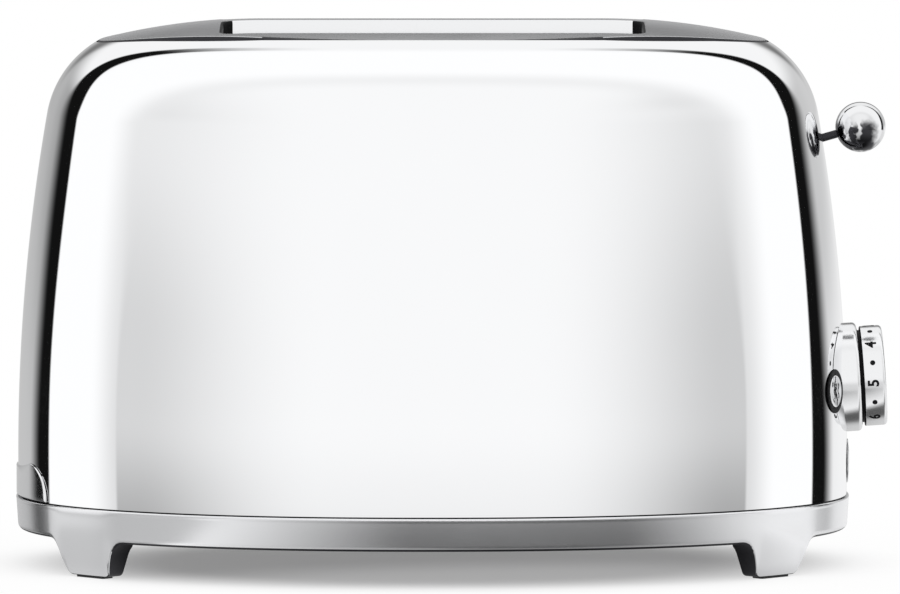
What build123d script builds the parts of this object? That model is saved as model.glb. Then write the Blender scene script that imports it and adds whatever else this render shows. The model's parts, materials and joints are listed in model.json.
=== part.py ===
from build123d import *
import os
from math import asin, atan2, cos, degrees, pi, radians, sin, sqrt, tan

os.makedirs("parts", exist_ok=True)

# A two-slot toaster with a bulged steel body on a footed base skirt.
# Lengths are in millimetres. The origin lies on the floor below the middle of the body.
# +X points to the end with the lever, +Z up, and -Y to the front.

# Body outline, seen from above as a squared oval
body_half_length = 152.6
body_half_depth = 97.1
plan_exponent = 2.2
outline_points = 32

# Body side view: a long bulge that turns over a round shoulder
bulge_radius = 729.0
widest_height = 40.0
shoulder_radius = 38.0
shoulder_height = 159.5
shoulder_end_angle = 80.0
wall_steps = 5
shoulder_steps = 5
shell_wall = 1.0

# Top panel with two bread slots
opening_half_length = 123.5
opening_half_depth = 60.0
panel_step = 0.4
crown_flat_half = 62.0
crown_end_radius = 245.0
crown_cross_radius = 340.0
panel_sheet = 1.2
slot_length = 153.0
slot_width = 36.0
slot_bridge = 14.0
slot_corner = 4.0
collar_sheet = 0.8
collar_depth = 14.0
panel_rim_depth = 6.0

# Base skirt with four legs
skirt_top = 26.0
skirt_bottom = 13.5
skirt_overhang = 0.8
skirt_draft = 0.8
skirt_wall = 3.0
skirt_bottom_round = 4.0
skirt_top_round = 0.5
skirt_lip_height = 2.0
skirt_lip_wall = 1.2
ledge_width = 6.0
ledge_thickness = 3.0
leg_station = 128.0
leg_width = 20.0
leg_flare = 4.7
leg_depth = 7.0
leg_inset = 4.0
leg_root_radius = 5.0
leg_toe_radius = 2.5
leg_blend_height = 6.0
leg_margin = 15.0
pad_thickness = 1.5
pad_length = 14.0
pad_depth = 5.5
pad_corner = 1.0

# Base plate, cable inlet and screws
base_sheet = 2.0
inlet_x = -60.0
inlet_edge = 27.1
inlet_bore = 7.6
inlet_outer = 12.0
inlet_flange = 16.0
inlet_flange_thickness = 1.6
inlet_length = 9.0
screw_size = 4.0
screw_head = 6.6
screw_head_height = 1.6
screw_length = 6.5
skirt_screw_x = 70.0
vent_length = 26.0
vent_width = 3.0
vent_pitch = 8.0
vent_count = 5

# Chassis sheets
chassis_half_length = 84.0
chassis_half_depth = 56.0
chassis_rise = 25.5
chassis_sheet = 1.0
foot_flange = 9.0
foot_flange_width = 12.0
chassis_corner = 8.0
shield_y = 54.5
shield_sheet = 0.6
shield_bottom = 41.0

# Heating boards
board_y = 47.5
board_sheet = 0.8
board_bottom = 44.0
board_top_margin = 4.0
ribbon_width = 2.0
ribbon_thickness = 0.3
ribbon_rows = 9
ribbon_half_length = 70.0
ribbon_margin = 14.0

# Bread guards
guard_offset = 17.0
guard_wire = 1.6
guard_rail_wire = 2.0
guard_pivot_wire = 2.4
guard_pivot_height = 49.0
guard_top_margin = 8.0
guard_half_length = 76.0
guard_bars = 9
guard_bar_pitch = 18.0

# Bread racks and carriage
lever_travel = 34.0
rack_height = 88.0
rack_half_width = 6.0
rack_half_length = 72.0
rack_sheet = 1.0
rack_web_depth = 8.0
rack_tail = 4.0
rack_teeth = 8
rack_tooth_pitch = 18.0
rack_tooth_length = 5.0
rack_tooth_height = 3.0
carriage_gap = 6.0
carriage_sheet = 1.5
carriage_half_width = 30.0
carriage_arm_height = 12.0
carriage_drop = 10.0
upright_half_width = 7.0
carriage_neck = 6.0

# Lever
ball_radius = 9.25
ball_x = 157.3
ball_rise = 1.2
rod_diameter = 3.0
rod_tilt = 16.0
rod_boss_side = 8.0
rod_boss_length = 12.0
rod_end_inset = 1.0
lever_slot_width = 5.0
lever_slot_margin = 3.5

# Guide, spring and latch
guide_reach = 17.0
guide_y = 17.0
guide_diameter = 5.0
guide_tab = 8.0
guide_end = 2.0
guide_foot_height = 24.0
guide_head_drop = 17.0
bush_diameter = 9.0
bush_length = 44.0
spring_wire = 1.0
spring_diameter = 7.6
spring_turns = 6
magnet_y = -17.0
magnet_side = 14.0
magnet_core_wall = 3.0
magnet_coil_gap = 0.5
keeper_thickness = 2.0

# Browning dial and its bezel
dial_height = 68.4
dial_tilt = 3.7
bezel_diameter = 40.0
bezel_proud = 5.0
bezel_depth = 5.5
bezel_bore = 35.0
bezel_round = 1.6
bezel_floor = 2.0
bezel_spigot = 12.0
drum_diameter = 36.8
drum_length = 9.2
drum_round = 1.4
drum_gap = 0.7
hub_diameter = 34.0
hub_length = 3.5
hub_bore_depth = 8.0
dial_shaft_diameter = 6.0

# Control board and potentiometer
control_board_depth = 24.0
control_board_sheet = 1.6
control_board_width = 56.0
control_board_height = 44.0
control_board_corner = 2.0
bracket_sheet = 2.0
bracket_width = 40.0
bracket_foot = 16.0
potentiometer_diameter = 16.0
potentiometer_length = 7.0
potentiometer_bore_depth = 5.0

# Programme buttons
button_side_y = 29.4
button_side_height = 65.7
button_low_height = 37.6
button_ring = 16.2
button_ring_proud = 0.8
button_cap = 11.7
button_cap_proud = 1.6
button_cap_depth = 3.5
button_cap_round = 0.5
button_travel = 1.5
button_housing = 14.1
button_housing_wall = 1.0
button_housing_length = 8.0
button_floor = 1.2
button_stem = 4.0
switch_side = 6.0
switch_length = 4.0

# Crumb tray at the other end
tray_half_width = 40.0
tray_floor = 28.5
tray_wall_height = 7.0
tray_sheet = 0.8
tray_corner = 6.0
tray_inner_end = 80.0
tray_handle_half_width = 43.0
tray_handle_top = 39.3
tray_handle_corner = 12.0
tray_handle_proud = 1.5
runner_sheet = 1.0
runner_flange = 6.0
runner_half_length = 75.0
runner_top = 36.0

# Terminal block on the base plate
terminal_x = -25.0
terminal_edge = 25.1
terminal_length = 30.0
terminal_depth = 12.0
terminal_height = 14.0
terminal_poles = 3
terminal_pitch = 9.0
terminal_hole = 4.0

# Clearances
seam_gap = 0.3
slide_gap = 0.05
hole_gap = 0.15
running_gap = 0.4
press_gap = 0.02
cut_margin = 10.0

# Places that follow from the sizes above
slot_centre = (slot_bridge + slot_width) / 2
shoulder_rise = shoulder_height - widest_height
centre_span = bulge_radius - shoulder_radius
shoulder_inset = bulge_radius - sqrt(centre_span**2 - shoulder_rise**2)
shoulder_start_angle = degrees(asin(shoulder_rise / centre_span))
rim_reach = opening_half_length - (body_half_length - shoulder_inset)
rim_end_height = shoulder_height + sqrt(shoulder_radius**2 - rim_reach**2)
crown_run = opening_half_length - crown_flat_half
crown_fall = crown_end_radius - sqrt(crown_end_radius**2 - crown_run**2)
crown_height = rim_end_height + panel_step + crown_fall
skirt_half_length = body_half_length + skirt_overhang
skirt_half_depth = body_half_depth + skirt_overhang
ledge_top = skirt_bottom + ledge_thickness
base_plate_top = ledge_top + base_sheet
inlet_y = body_half_depth - inlet_edge
terminal_y = body_half_depth - terminal_edge
chassis_inner_x = chassis_half_length - chassis_sheet
chassis_top = shoulder_height + chassis_rise
board_top = chassis_top - board_top_margin
guard_top_height = chassis_top - guard_top_margin
guide_head_height = chassis_top - guide_head_drop
ball_height = shoulder_height + ball_rise
doorway_half_width = tray_half_width + runner_sheet + 2 * running_gap
tray_rim = tray_floor + tray_wall_height
doorway_top = tray_rim + running_gap * 2
guard_centres = {
    "guard_front_outer": -slot_centre - guard_offset,
    "guard_front_inner": -slot_centre + guard_offset,
    "guard_rear_inner": slot_centre - guard_offset,
    "guard_rear_outer": slot_centre + guard_offset,
}
slot_centres = {"front": -slot_centre, "rear": slot_centre}
carriage_x = chassis_half_length + carriage_gap
carriage_face_x = carriage_x + carriage_sheet
carriage_bottom = rack_height - carriage_drop
guide_x = chassis_half_length + guide_reach
ear_top = carriage_bottom + carriage_sheet
upper_ear = ear_top + bush_length
rod_slope = tan(radians(rod_tilt))
rod_boss_height = ball_height - (ball_x - carriage_face_x) * rod_slope


def wall_inset(height, skin=0.0):
    """How far the bulged wall lies inside its widest line at a height."""
    return bulge_radius - sqrt((bulge_radius - skin) ** 2 - (height - widest_height) ** 2)


def oval_across(along, half_length, half_depth):
    """Half the depth of the squared oval at a distance along its length."""
    share = 1 - (abs(along) / half_length) ** plan_exponent
    return half_depth * share ** (1 / plan_exponent)


def oval_bearing(along, across, half_length, half_depth):
    """Direction in radians, from +X, in which the oval faces at a point of its first quarter."""
    face_x = (along / half_length) ** (plan_exponent - 1) / half_length
    face_y = (across / half_depth) ** (plan_exponent - 1) / half_depth
    return atan2(face_y, face_x)


def oval(half_length, half_depth, height=0.0):
    """The squared oval as a level sketch at a height."""
    points = []
    for step in range(outline_points):
        turn = 2 * pi * step / outline_points
        along, across = cos(turn), sin(turn)
        reach = (abs(along) ** plan_exponent + abs(across) ** plan_exponent) ** (-1 / plan_exponent)
        points.append((half_length * along * reach, half_depth * across * reach))
    with BuildSketch(Plane.XY.offset(height)) as outline:
        with BuildLine():
            Spline(*points, periodic=True)
        make_face()
    return outline.sketch


def body_oval(inset, height):
    """The body's outline, this far inside its widest line."""
    return oval(body_half_length - inset, body_half_depth - inset, height)


def skirt_oval(inset, height):
    """The skirt's outline, this far inside its top edge."""
    return oval(skirt_half_length - inset, skirt_half_depth - inset, height)


def body_form(skin):
    """The body as one solid, a skin's thickness inside its outer surface."""
    reach = shoulder_radius - skin
    turnover = shoulder_height + reach * sin(radians(shoulder_start_angle))
    sections = []
    for step in range(wall_steps):
        height = skirt_top + (turnover - skirt_top) * step / wall_steps
        sections.append(body_oval(wall_inset(height, skin), height))
    for step in range(shoulder_steps + 1):
        turned = (shoulder_end_angle - shoulder_start_angle) * step / shoulder_steps
        turn = radians(shoulder_start_angle + turned)
        sections.append(body_oval(shoulder_inset - reach * cos(turn), shoulder_height + reach * sin(turn)))
    with BuildPart() as form:
        loft(sections)
    return form.part


def crown_form(depth):
    """The crowned top, this deep: it falls to both ends and gently to front and back."""
    half_length = opening_half_length + shell_wall
    half_depth = opening_half_depth + shell_wall
    swing = degrees(asin((half_length - crown_flat_half) / crown_end_radius))
    drop = crown_cross_radius - sqrt(crown_cross_radius**2 - half_depth**2)
    arc_height = crown_height - crown_end_radius
    with BuildPart() as form:
        with BuildLine(Plane.XZ) as crest:
            CenterArc((-crown_flat_half, arc_height), crown_end_radius, 90 + swing, -swing)
            Line((-crown_flat_half, crown_height), (crown_flat_half, crown_height))
            CenterArc((crown_flat_half, arc_height), crown_end_radius, 90, -swing)
        with BuildSketch(Plane(origin=crest.line @ 0, x_dir=(0, 1, 0), z_dir=crest.line % 0)):
            with BuildLine():
                ThreePointArc((-half_depth, -drop), (0, 0), (half_depth, -drop))
                Line((half_depth, -drop), (half_depth, -drop - depth))
                ThreePointArc((half_depth, -drop - depth), (0, -depth), (-half_depth, -drop - depth))
                Line((-half_depth, -drop - depth), (-half_depth, -drop))
            make_face()
        sweep(path=crest.line)
    return form.part


def slot_sketch(margin, height):
    """Both bread slots as a level sketch, wider all round by a margin."""
    with BuildSketch(Plane.XY.offset(height)) as slots:
        with Locations((0, -slot_centre), (0, slot_centre)):
            RectangleRounded(slot_length + 2 * margin, slot_width + 2 * margin, slot_corner + margin)
    return slots.sketch


def save(part, label):
    """Name a finished piece and write its file."""
    part.label = label
    export_step(part, f"parts/{label}.step")


# Planes on the lever end: the dial's and each button's, facing outwards with local Y upwards
dial_x = body_half_length - wall_inset(dial_height)
dial_facing = Vector(cos(radians(dial_tilt)), 0, sin(radians(dial_tilt)))
dial_plane = Plane(origin=(dial_x, 0, dial_height), x_dir=(0, 1, 0), z_dir=dial_facing)


def button_plane(across, height):
    """The plane that lies on the lever end of the body where a button sits."""
    half_length = body_half_length - wall_inset(height)
    half_depth = body_half_depth - wall_inset(height)
    along = oval_across(across, half_depth, half_length)
    bearing = oval_bearing(along, abs(across), half_length, half_depth)
    if across < 0:
        bearing = -bearing
    lean = asin((height - widest_height) / bulge_radius)
    facing = Vector(cos(bearing) * cos(lean), sin(bearing) * cos(lean), sin(lean))
    return Plane(origin=(along, across, height), x_dir=Vector(0, 0, 1).cross(facing), z_dir=facing)


button_planes = {
    "defrost": button_plane(-button_side_y, button_side_height),
    "reheat": button_plane(button_side_y, button_side_height),
    "bagel": button_plane(0, button_low_height),
}

# Outer shell: a bulged sleeve, open above for the panel and below for the base
shell_x_at_ball = body_half_length - wall_inset(ball_height)
rod_slot_height = ball_height - (ball_x - shell_x_at_ball) * rod_slope
lever_slot_top = rod_slot_height + lever_slot_margin
lever_slot_bottom = rod_slot_height - lever_travel - lever_slot_margin
with BuildPart() as outer_shell:
    add(body_form(0))
    add(body_form(shell_wall), mode=Mode.SUBTRACT)
    extrude(
        oval(opening_half_length, opening_half_depth, shoulder_height),
        amount=crown_height - shoulder_height,
        mode=Mode.SUBTRACT,
    )
    with BuildSketch(Plane.YZ.offset(ball_x)):
        with Locations((0, (lever_slot_top + lever_slot_bottom) / 2)):
            SlotOverall(lever_slot_top - lever_slot_bottom, lever_slot_width, rotation=90)
    extrude(amount=carriage_x - ball_x, mode=Mode.SUBTRACT)
    with BuildSketch(dial_plane):
        Circle(bezel_diameter / 2 + slide_gap)
    extrude(amount=control_board_depth, both=True, mode=Mode.SUBTRACT)
    for plane in button_planes.values():
        with BuildSketch(plane):
            Circle(button_housing / 2 + hole_gap)
        extrude(amount=button_housing_length, both=True, mode=Mode.SUBTRACT)
    with BuildSketch(Plane.YZ.offset(-body_half_length - cut_margin)):
        with Locations((0, skirt_top)):
            tray_gate_width = 2 * (tray_half_width + running_gap)
            Rectangle(tray_gate_width, doorway_top - skirt_top, align=(Align.CENTER, Align.MIN))
    extrude(amount=2 * cut_margin + tray_handle_corner, mode=Mode.SUBTRACT)
save(outer_shell.part, "outer_shell")

# Top panel: a crowned pressing with a turned-down rim and a collar round each slot
panel_half_length = opening_half_length - seam_gap
panel_half_depth = opening_half_depth - seam_gap
with BuildPart() as panel_hollow:
    add(crown_form(collar_depth).moved(Location((0, 0, -panel_sheet))))
    with BuildSketch(Plane.XY.offset(shoulder_height)):
        add(oval(panel_half_length - panel_sheet, panel_half_depth - panel_sheet))
        add(slot_sketch(collar_sheet, 0), mode=Mode.SUBTRACT)
    extrude(amount=crown_height - shoulder_height, mode=Mode.INTERSECT)
with BuildPart() as rim_trim:
    add(crown_form(collar_depth).moved(Location((0, 0, -panel_rim_depth))))
    with BuildSketch(Plane.XY.offset(shoulder_height)):
        add(oval(opening_half_length, opening_half_depth))
        add(slot_sketch(collar_sheet, 0), mode=Mode.SUBTRACT)
    extrude(amount=crown_height - shoulder_height, mode=Mode.INTERSECT)
with BuildPart() as top_panel:
    add(crown_form(collar_depth))
    extrude(
        oval(panel_half_length, panel_half_depth, shoulder_height),
        amount=crown_height - shoulder_height,
        mode=Mode.INTERSECT,
    )
    add(panel_hollow.part, mode=Mode.SUBTRACT)
    add(rim_trim.part, mode=Mode.SUBTRACT)
    extrude(slot_sketch(0, shoulder_height), amount=crown_height - shoulder_height, mode=Mode.SUBTRACT)
save(top_panel.part, "top_panel")

# One leg: a flared tongue square to the outline, its outer face following it
leg_across = oval_across(leg_station, skirt_half_length, skirt_half_depth)
leg_bearing = oval_bearing(leg_station, leg_across, skirt_half_length, skirt_half_depth)
leg_facing = Vector(cos(leg_bearing), sin(leg_bearing), 0)
leg_plane = Plane(
    origin=(leg_station, leg_across, 0),
    x_dir=Vector(0, 0, 1).cross(leg_facing),
    z_dir=leg_facing,
)
leg_half = leg_width / 2
flare_half = leg_half + leg_flare
with BuildPart() as leg:
    with BuildSketch(leg_plane.offset(cut_margin)) as leg_profile:
        with BuildLine():
            Polyline(
                (-flare_half - leg_margin, ledge_top),
                (-flare_half - leg_margin, skirt_bottom),
                (-flare_half, skirt_bottom),
                (-leg_half, pad_thickness),
                (leg_half, pad_thickness),
                (flare_half, skirt_bottom),
                (flare_half + leg_margin, skirt_bottom),
                (flare_half + leg_margin, ledge_top),
                close=True,
            )
        make_face()
        corners = leg_profile.vertices().group_by(Axis.Y)
        fillet(corners[0], leg_toe_radius)
        roots = leg_profile.vertices().filter_by_position(Axis.Y, skirt_bottom, skirt_bottom)
        fillet(roots.sort_by(Axis.X)[1:3], leg_root_radius)
    extrude(amount=-cut_margin - leg_inset - leg_depth)
    loft(
        [skirt_oval(leg_inset, pad_thickness), skirt_oval(skirt_draft, skirt_bottom + leg_blend_height)],
        ruled=True,
        mode=Mode.INTERSECT,
    )

# Screws from below: four into the chassis feet and four, with sunk heads, through the skirt's ledge
chassis_screw_x = chassis_half_length + foot_flange / 2
chassis_screw_y = chassis_half_depth - foot_flange_width / 2
ledge_middle = skirt_wall + ledge_width / 2
skirt_screw_y = oval_across(skirt_screw_x, skirt_half_length - ledge_middle, skirt_half_depth - ledge_middle)
screw_hole = screw_size / 2 + hole_gap
corner_signs = [(side_x, side_y) for side_x in (-1, 1) for side_y in (-1, 1)]
chassis_screws = [(side_x * chassis_screw_x, side_y * chassis_screw_y) for side_x, side_y in corner_signs]
skirt_screws = [(side_x * skirt_screw_x, side_y * skirt_screw_y) for side_x, side_y in corner_signs]
head_recess = screw_head_height + hole_gap
skirt_screw_seat = skirt_bottom + head_recess

# Base skirt: a drafted band with a rounded lower edge, a ledge inside and the four legs
with BuildPart() as base_skirt:
    loft([skirt_oval(skirt_draft, skirt_bottom), skirt_oval(0, skirt_top)], ruled=True)
    fillet(base_skirt.edges().sort_by(Axis.Z)[0], skirt_bottom_round)
    fillet(base_skirt.edges().sort_by(Axis.Z)[-1], skirt_top_round)
    extrude(skirt_oval(skirt_wall + ledge_width, skirt_bottom), amount=skirt_top, mode=Mode.SUBTRACT)
    add(leg.part)
    add(mirror(leg.part, about=Plane.XZ, mode=Mode.PRIVATE))
    add(mirror(leg.part, about=Plane.YZ, mode=Mode.PRIVATE))
    add(mirror(mirror(leg.part, about=Plane.YZ, mode=Mode.PRIVATE), about=Plane.XZ, mode=Mode.PRIVATE))
    extrude(skirt_oval(skirt_wall, ledge_top), amount=skirt_top, mode=Mode.SUBTRACT)
    lip_inset = wall_inset(skirt_top) + shell_wall + seam_gap
    with BuildSketch(Plane.XY.offset(skirt_top - skirt_lip_height)):
        add(body_oval(lip_inset, 0))
        add(body_oval(lip_inset + skirt_lip_wall, 0), mode=Mode.SUBTRACT)
    extrude(amount=2 * skirt_lip_height)
    with BuildSketch(Plane.XY.offset(skirt_bottom)):
        with Locations(*skirt_screws):
            Circle(screw_head / 2 + hole_gap)
    extrude(amount=head_recess, mode=Mode.SUBTRACT)
    with BuildSketch(Plane.XY.offset(skirt_bottom)):
        with Locations(*skirt_screws):
            Circle(screw_hole)
    extrude(amount=ledge_thickness, mode=Mode.SUBTRACT)
save(base_skirt.part, "base_skirt")

# Foot pads: four rubber blocks under the legs
pad_shift = leg_inset + leg_depth / 2
with BuildPart() as foot_pads:
    for side_x, side_y in corner_signs:
        pad_x = side_x * (leg_station - pad_shift * cos(leg_bearing))
        pad_y = side_y * (leg_across - pad_shift * sin(leg_bearing))
        turn = side_x * side_y * degrees(leg_bearing) + 90
        with BuildSketch():
            with Locations(Location((pad_x, pad_y, 0), (0, 0, turn))):
                RectangleRounded(pad_length, pad_depth, pad_corner)
        extrude(amount=pad_thickness)
save(foot_pads.part, "foot_pads")

# Base plate: closes the skirt from below, with the inlet hole, vents and screw holes
with BuildPart() as base_plate:
    extrude(skirt_oval(skirt_wall + seam_gap, ledge_top), amount=base_sheet)
    with BuildSketch(Plane.XY.offset(ledge_top)):
        with Locations((inlet_x, inlet_y)):
            Circle(inlet_outer / 2 + slide_gap)
        with Locations(*chassis_screws, *skirt_screws):
            Circle(screw_hole)
        with GridLocations(0, vent_pitch, 1, vent_count):
            SlotOverall(vent_length, vent_width)
    extrude(amount=base_sheet, mode=Mode.SUBTRACT)
save(base_plate.part, "base_plate")

# Screws from below, each with a pan head
with BuildPart() as base_screws:
    for places, seat in ((chassis_screws, ledge_top), (skirt_screws, skirt_screw_seat)):
        with BuildSketch(Plane.XY.offset(seat - screw_head_height)):
            with Locations(*places):
                Circle(screw_head / 2)
        extrude(amount=screw_head_height)
        with BuildSketch(Plane.XY.offset(seat)):
            with Locations(*places):
                Circle(screw_size / 2)
        extrude(amount=screw_length)
save(base_screws.part, "base_screws")

# Cable inlet: a flanged bush through the base plate
with BuildPart() as cable_inlet:
    with BuildSketch(Plane.XY.offset(ledge_top - inlet_flange_thickness)):
        with Locations((inlet_x, inlet_y)):
            Circle(inlet_flange / 2)
    extrude(amount=inlet_flange_thickness)
    with BuildSketch(Plane.XY.offset(ledge_top)):
        with Locations((inlet_x, inlet_y)):
            Circle(inlet_outer / 2)
    extrude(amount=inlet_length)
    with BuildSketch(Plane.XY.offset(ledge_top - inlet_flange_thickness)):
        with Locations((inlet_x, inlet_y)):
            Circle(inlet_bore / 2)
    extrude(amount=inlet_flange_thickness + inlet_length, mode=Mode.SUBTRACT)
save(cable_inlet.part, "cable_inlet")

# Terminal block with a row of wire holes
with BuildPart() as terminal_block:
    with BuildSketch(Plane.XY.offset(base_plate_top)):
        with Locations((terminal_x, terminal_y)):
            Rectangle(terminal_length, terminal_depth)
    extrude(amount=terminal_height)
    with BuildSketch(Plane.XZ.offset(-terminal_y - terminal_depth / 2)):
        with Locations((terminal_x, base_plate_top + terminal_height / 2)):
            with GridLocations(terminal_pitch, 0, terminal_poles, 1):
                Circle(terminal_hole / 2)
    extrude(amount=terminal_depth, mode=Mode.SUBTRACT)
save(terminal_block.part, "terminal_block")

# Chassis end walls: sheets with foot tabs, guard pivots and slots for the racks
pivot_hole = guard_pivot_wire / 2 + slide_gap
rack_slot_width = rack_sheet + 2 * running_gap
rack_slot_bottom = rack_height - rack_web_depth - lever_travel - running_gap
rack_slot_top = rack_height + running_gap


def chassis_wall(side):
    """One end wall, flat, with its foot tabs, before what only that end has."""
    with BuildPart() as wall:
        with BuildSketch(Plane.YZ.offset(side * (chassis_half_length - chassis_sheet / 2))) as sheet:
            with Locations((0, (base_plate_top + chassis_top) / 2)):
                Rectangle(2 * chassis_half_depth, chassis_top - base_plate_top)
            fillet(sheet.vertices().group_by(Axis.Y)[-1], chassis_corner)
            for centre in guard_centres.values():
                with Locations((centre, guard_pivot_height)):
                    Circle(pivot_hole, mode=Mode.SUBTRACT)
            for centre in slot_centres.values():
                with Locations((centre, (rack_slot_bottom + rack_slot_top) / 2)):
                    Rectangle(rack_slot_width, rack_slot_top - rack_slot_bottom, mode=Mode.SUBTRACT)
        extrude(amount=chassis_sheet / 2, both=True)
        with BuildSketch(Plane.XY.offset(base_plate_top)):
            with Locations((side * (chassis_half_length + foot_flange / 2), 0)):
                with GridLocations(0, 2 * chassis_screw_y, 1, 2):
                    Rectangle(foot_flange, foot_flange_width)
                    Circle(screw_hole, mode=Mode.SUBTRACT)
        extrude(amount=chassis_sheet)
    return wall.part


guide_hole = guide_diameter / 2 + press_gap
with BuildPart() as lever_end_wall:
    add(chassis_wall(1))
    tab_length = guide_reach + guide_tab
    tab_middle = chassis_half_length + tab_length / 2
    foot_low = magnet_y - magnet_side / 2 - magnet_coil_gap
    foot_high = guide_y + guide_tab
    with BuildSketch(Plane.XY.offset(guide_foot_height)):
        with Locations((tab_middle, (foot_low + foot_high) / 2)):
            Rectangle(tab_length, foot_high - foot_low)
        with Locations((guide_x, guide_y)):
            Circle(guide_hole, mode=Mode.SUBTRACT)
    extrude(amount=chassis_sheet)
    with BuildSketch(Plane.XY.offset(guide_head_height)):
        with Locations((tab_middle, guide_y)):
            Rectangle(tab_length, 2 * guide_tab)
        with Locations((guide_x, guide_y)):
            Circle(guide_hole, mode=Mode.SUBTRACT)
    extrude(amount=chassis_sheet)
save(lever_end_wall.part, "lever_end_wall")

with BuildPart() as tray_end_wall:
    add(chassis_wall(-1))
    with BuildSketch(Plane.YZ.offset(-chassis_half_length)):
        with Locations((0, base_plate_top)):
            Rectangle(2 * doorway_half_width, doorway_top - base_plate_top, align=(Align.CENTER, Align.MIN))
    extrude(amount=chassis_sheet, mode=Mode.SUBTRACT)
save(tray_end_wall.part, "tray_end_wall")

# Heat shields outside the boards, from end wall to end wall
for label, side in (("front_heat_shield", -1), ("rear_heat_shield", 1)):
    with BuildPart() as shield:
        with BuildSketch(Plane.YZ.offset(-chassis_inner_x)):
            with Locations((side * shield_y, (shield_bottom + chassis_top) / 2)):
                Rectangle(shield_sheet, chassis_top - shield_bottom)
        extrude(amount=2 * chassis_inner_x)
    save(shield.part, label)

# Heating boards with their flat resistance ribbon laid to and fro
ribbon_pitch = (board_top - board_bottom - 2 * ribbon_margin) / (ribbon_rows - 1)
ribbon_bottom = board_bottom + ribbon_margin


def ribbon(face_y, side):
    """One run of ribbon, up the board in rows joined at alternate ends."""
    with BuildPart() as strip:
        with BuildSketch(Plane.XZ.offset(-face_y)):
            for row in range(ribbon_rows):
                with Locations((0, ribbon_bottom + row * ribbon_pitch)):
                    Rectangle(2 * ribbon_half_length, ribbon_width)
                if row:
                    end = ribbon_half_length - ribbon_width / 2
                    turn_x = end if row % 2 else -end
                    with Locations((turn_x, ribbon_bottom + (row - 0.5) * ribbon_pitch)):
                        Rectangle(ribbon_width, ribbon_pitch)
        extrude(amount=-side * ribbon_thickness)
    return strip.part


board_faces = {"front": (-board_y, (1,)), "centre": (0, (-1, 1)), "rear": (board_y, (-1,))}
for name, (centre, sides) in board_faces.items():
    with BuildPart() as board:
        with BuildSketch(Plane.XZ.offset(-centre)):
            with Locations((0, (board_bottom + board_top) / 2)):
                Rectangle(2 * chassis_inner_x, board_top - board_bottom)
        extrude(amount=board_sheet / 2, both=True)
    save(board.part, f"{name}_heater_board")
    with BuildPart() as ribbons:
        for side in sides:
            add(ribbon(centre + side * board_sheet / 2, side))
    save(ribbons.part, f"{name}_heater_ribbon")

# Bread guards: a pivot wire below, a rail above and upright bars between them
for label, centre in guard_centres.items():
    with BuildPart() as guard:
        with BuildSketch(Plane.YZ.offset(-chassis_half_length - guard_pivot_wire)):
            with Locations((centre, guard_pivot_height)):
                Circle(guard_pivot_wire / 2)
        extrude(amount=2 * (chassis_half_length + guard_pivot_wire))
        with BuildSketch(Plane.YZ.offset(-guard_half_length)):
            with Locations((centre, guard_top_height)):
                Circle(guard_rail_wire / 2)
        extrude(amount=2 * guard_half_length)
        with BuildSketch(Plane.XY.offset(guard_pivot_height)):
            with Locations((0, centre)):
                with GridLocations(guard_bar_pitch, 0, guard_bars, 1):
                    Circle(guard_wire / 2)
        extrude(amount=guard_top_height - guard_pivot_height)
    save(guard.part, label)

# Bread racks: a toothed strip on a web whose ends run in the wall slots
for name, centre in slot_centres.items():
    with BuildPart() as rack:
        with BuildSketch(Plane.XY.offset(rack_height - rack_sheet)):
            with Locations((0, centre)):
                Rectangle(2 * rack_half_length, 2 * rack_half_width)
        extrude(amount=rack_sheet)
        with BuildSketch(Plane.XZ.offset(-centre)):
            with BuildLine():
                tail_x = -chassis_half_length - rack_tail
                Polyline(
                    (tail_x, rack_height - rack_web_depth),
                    (carriage_x, rack_height - rack_web_depth),
                    (carriage_x, rack_height),
                    (tail_x, rack_height),
                    close=True,
                )
            make_face()
        extrude(amount=rack_sheet / 2, both=True)
        tooth_y = rack_half_width - rack_sheet / 2
        with BuildSketch(Plane.XY.offset(rack_height)):
            with Locations((0, centre)):
                with GridLocations(rack_tooth_pitch, 2 * tooth_y, rack_teeth, 2):
                    Rectangle(rack_tooth_length, rack_sheet)
        extrude(amount=rack_tooth_height)
    save(rack.part, f"bread_rack_{name}")

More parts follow.
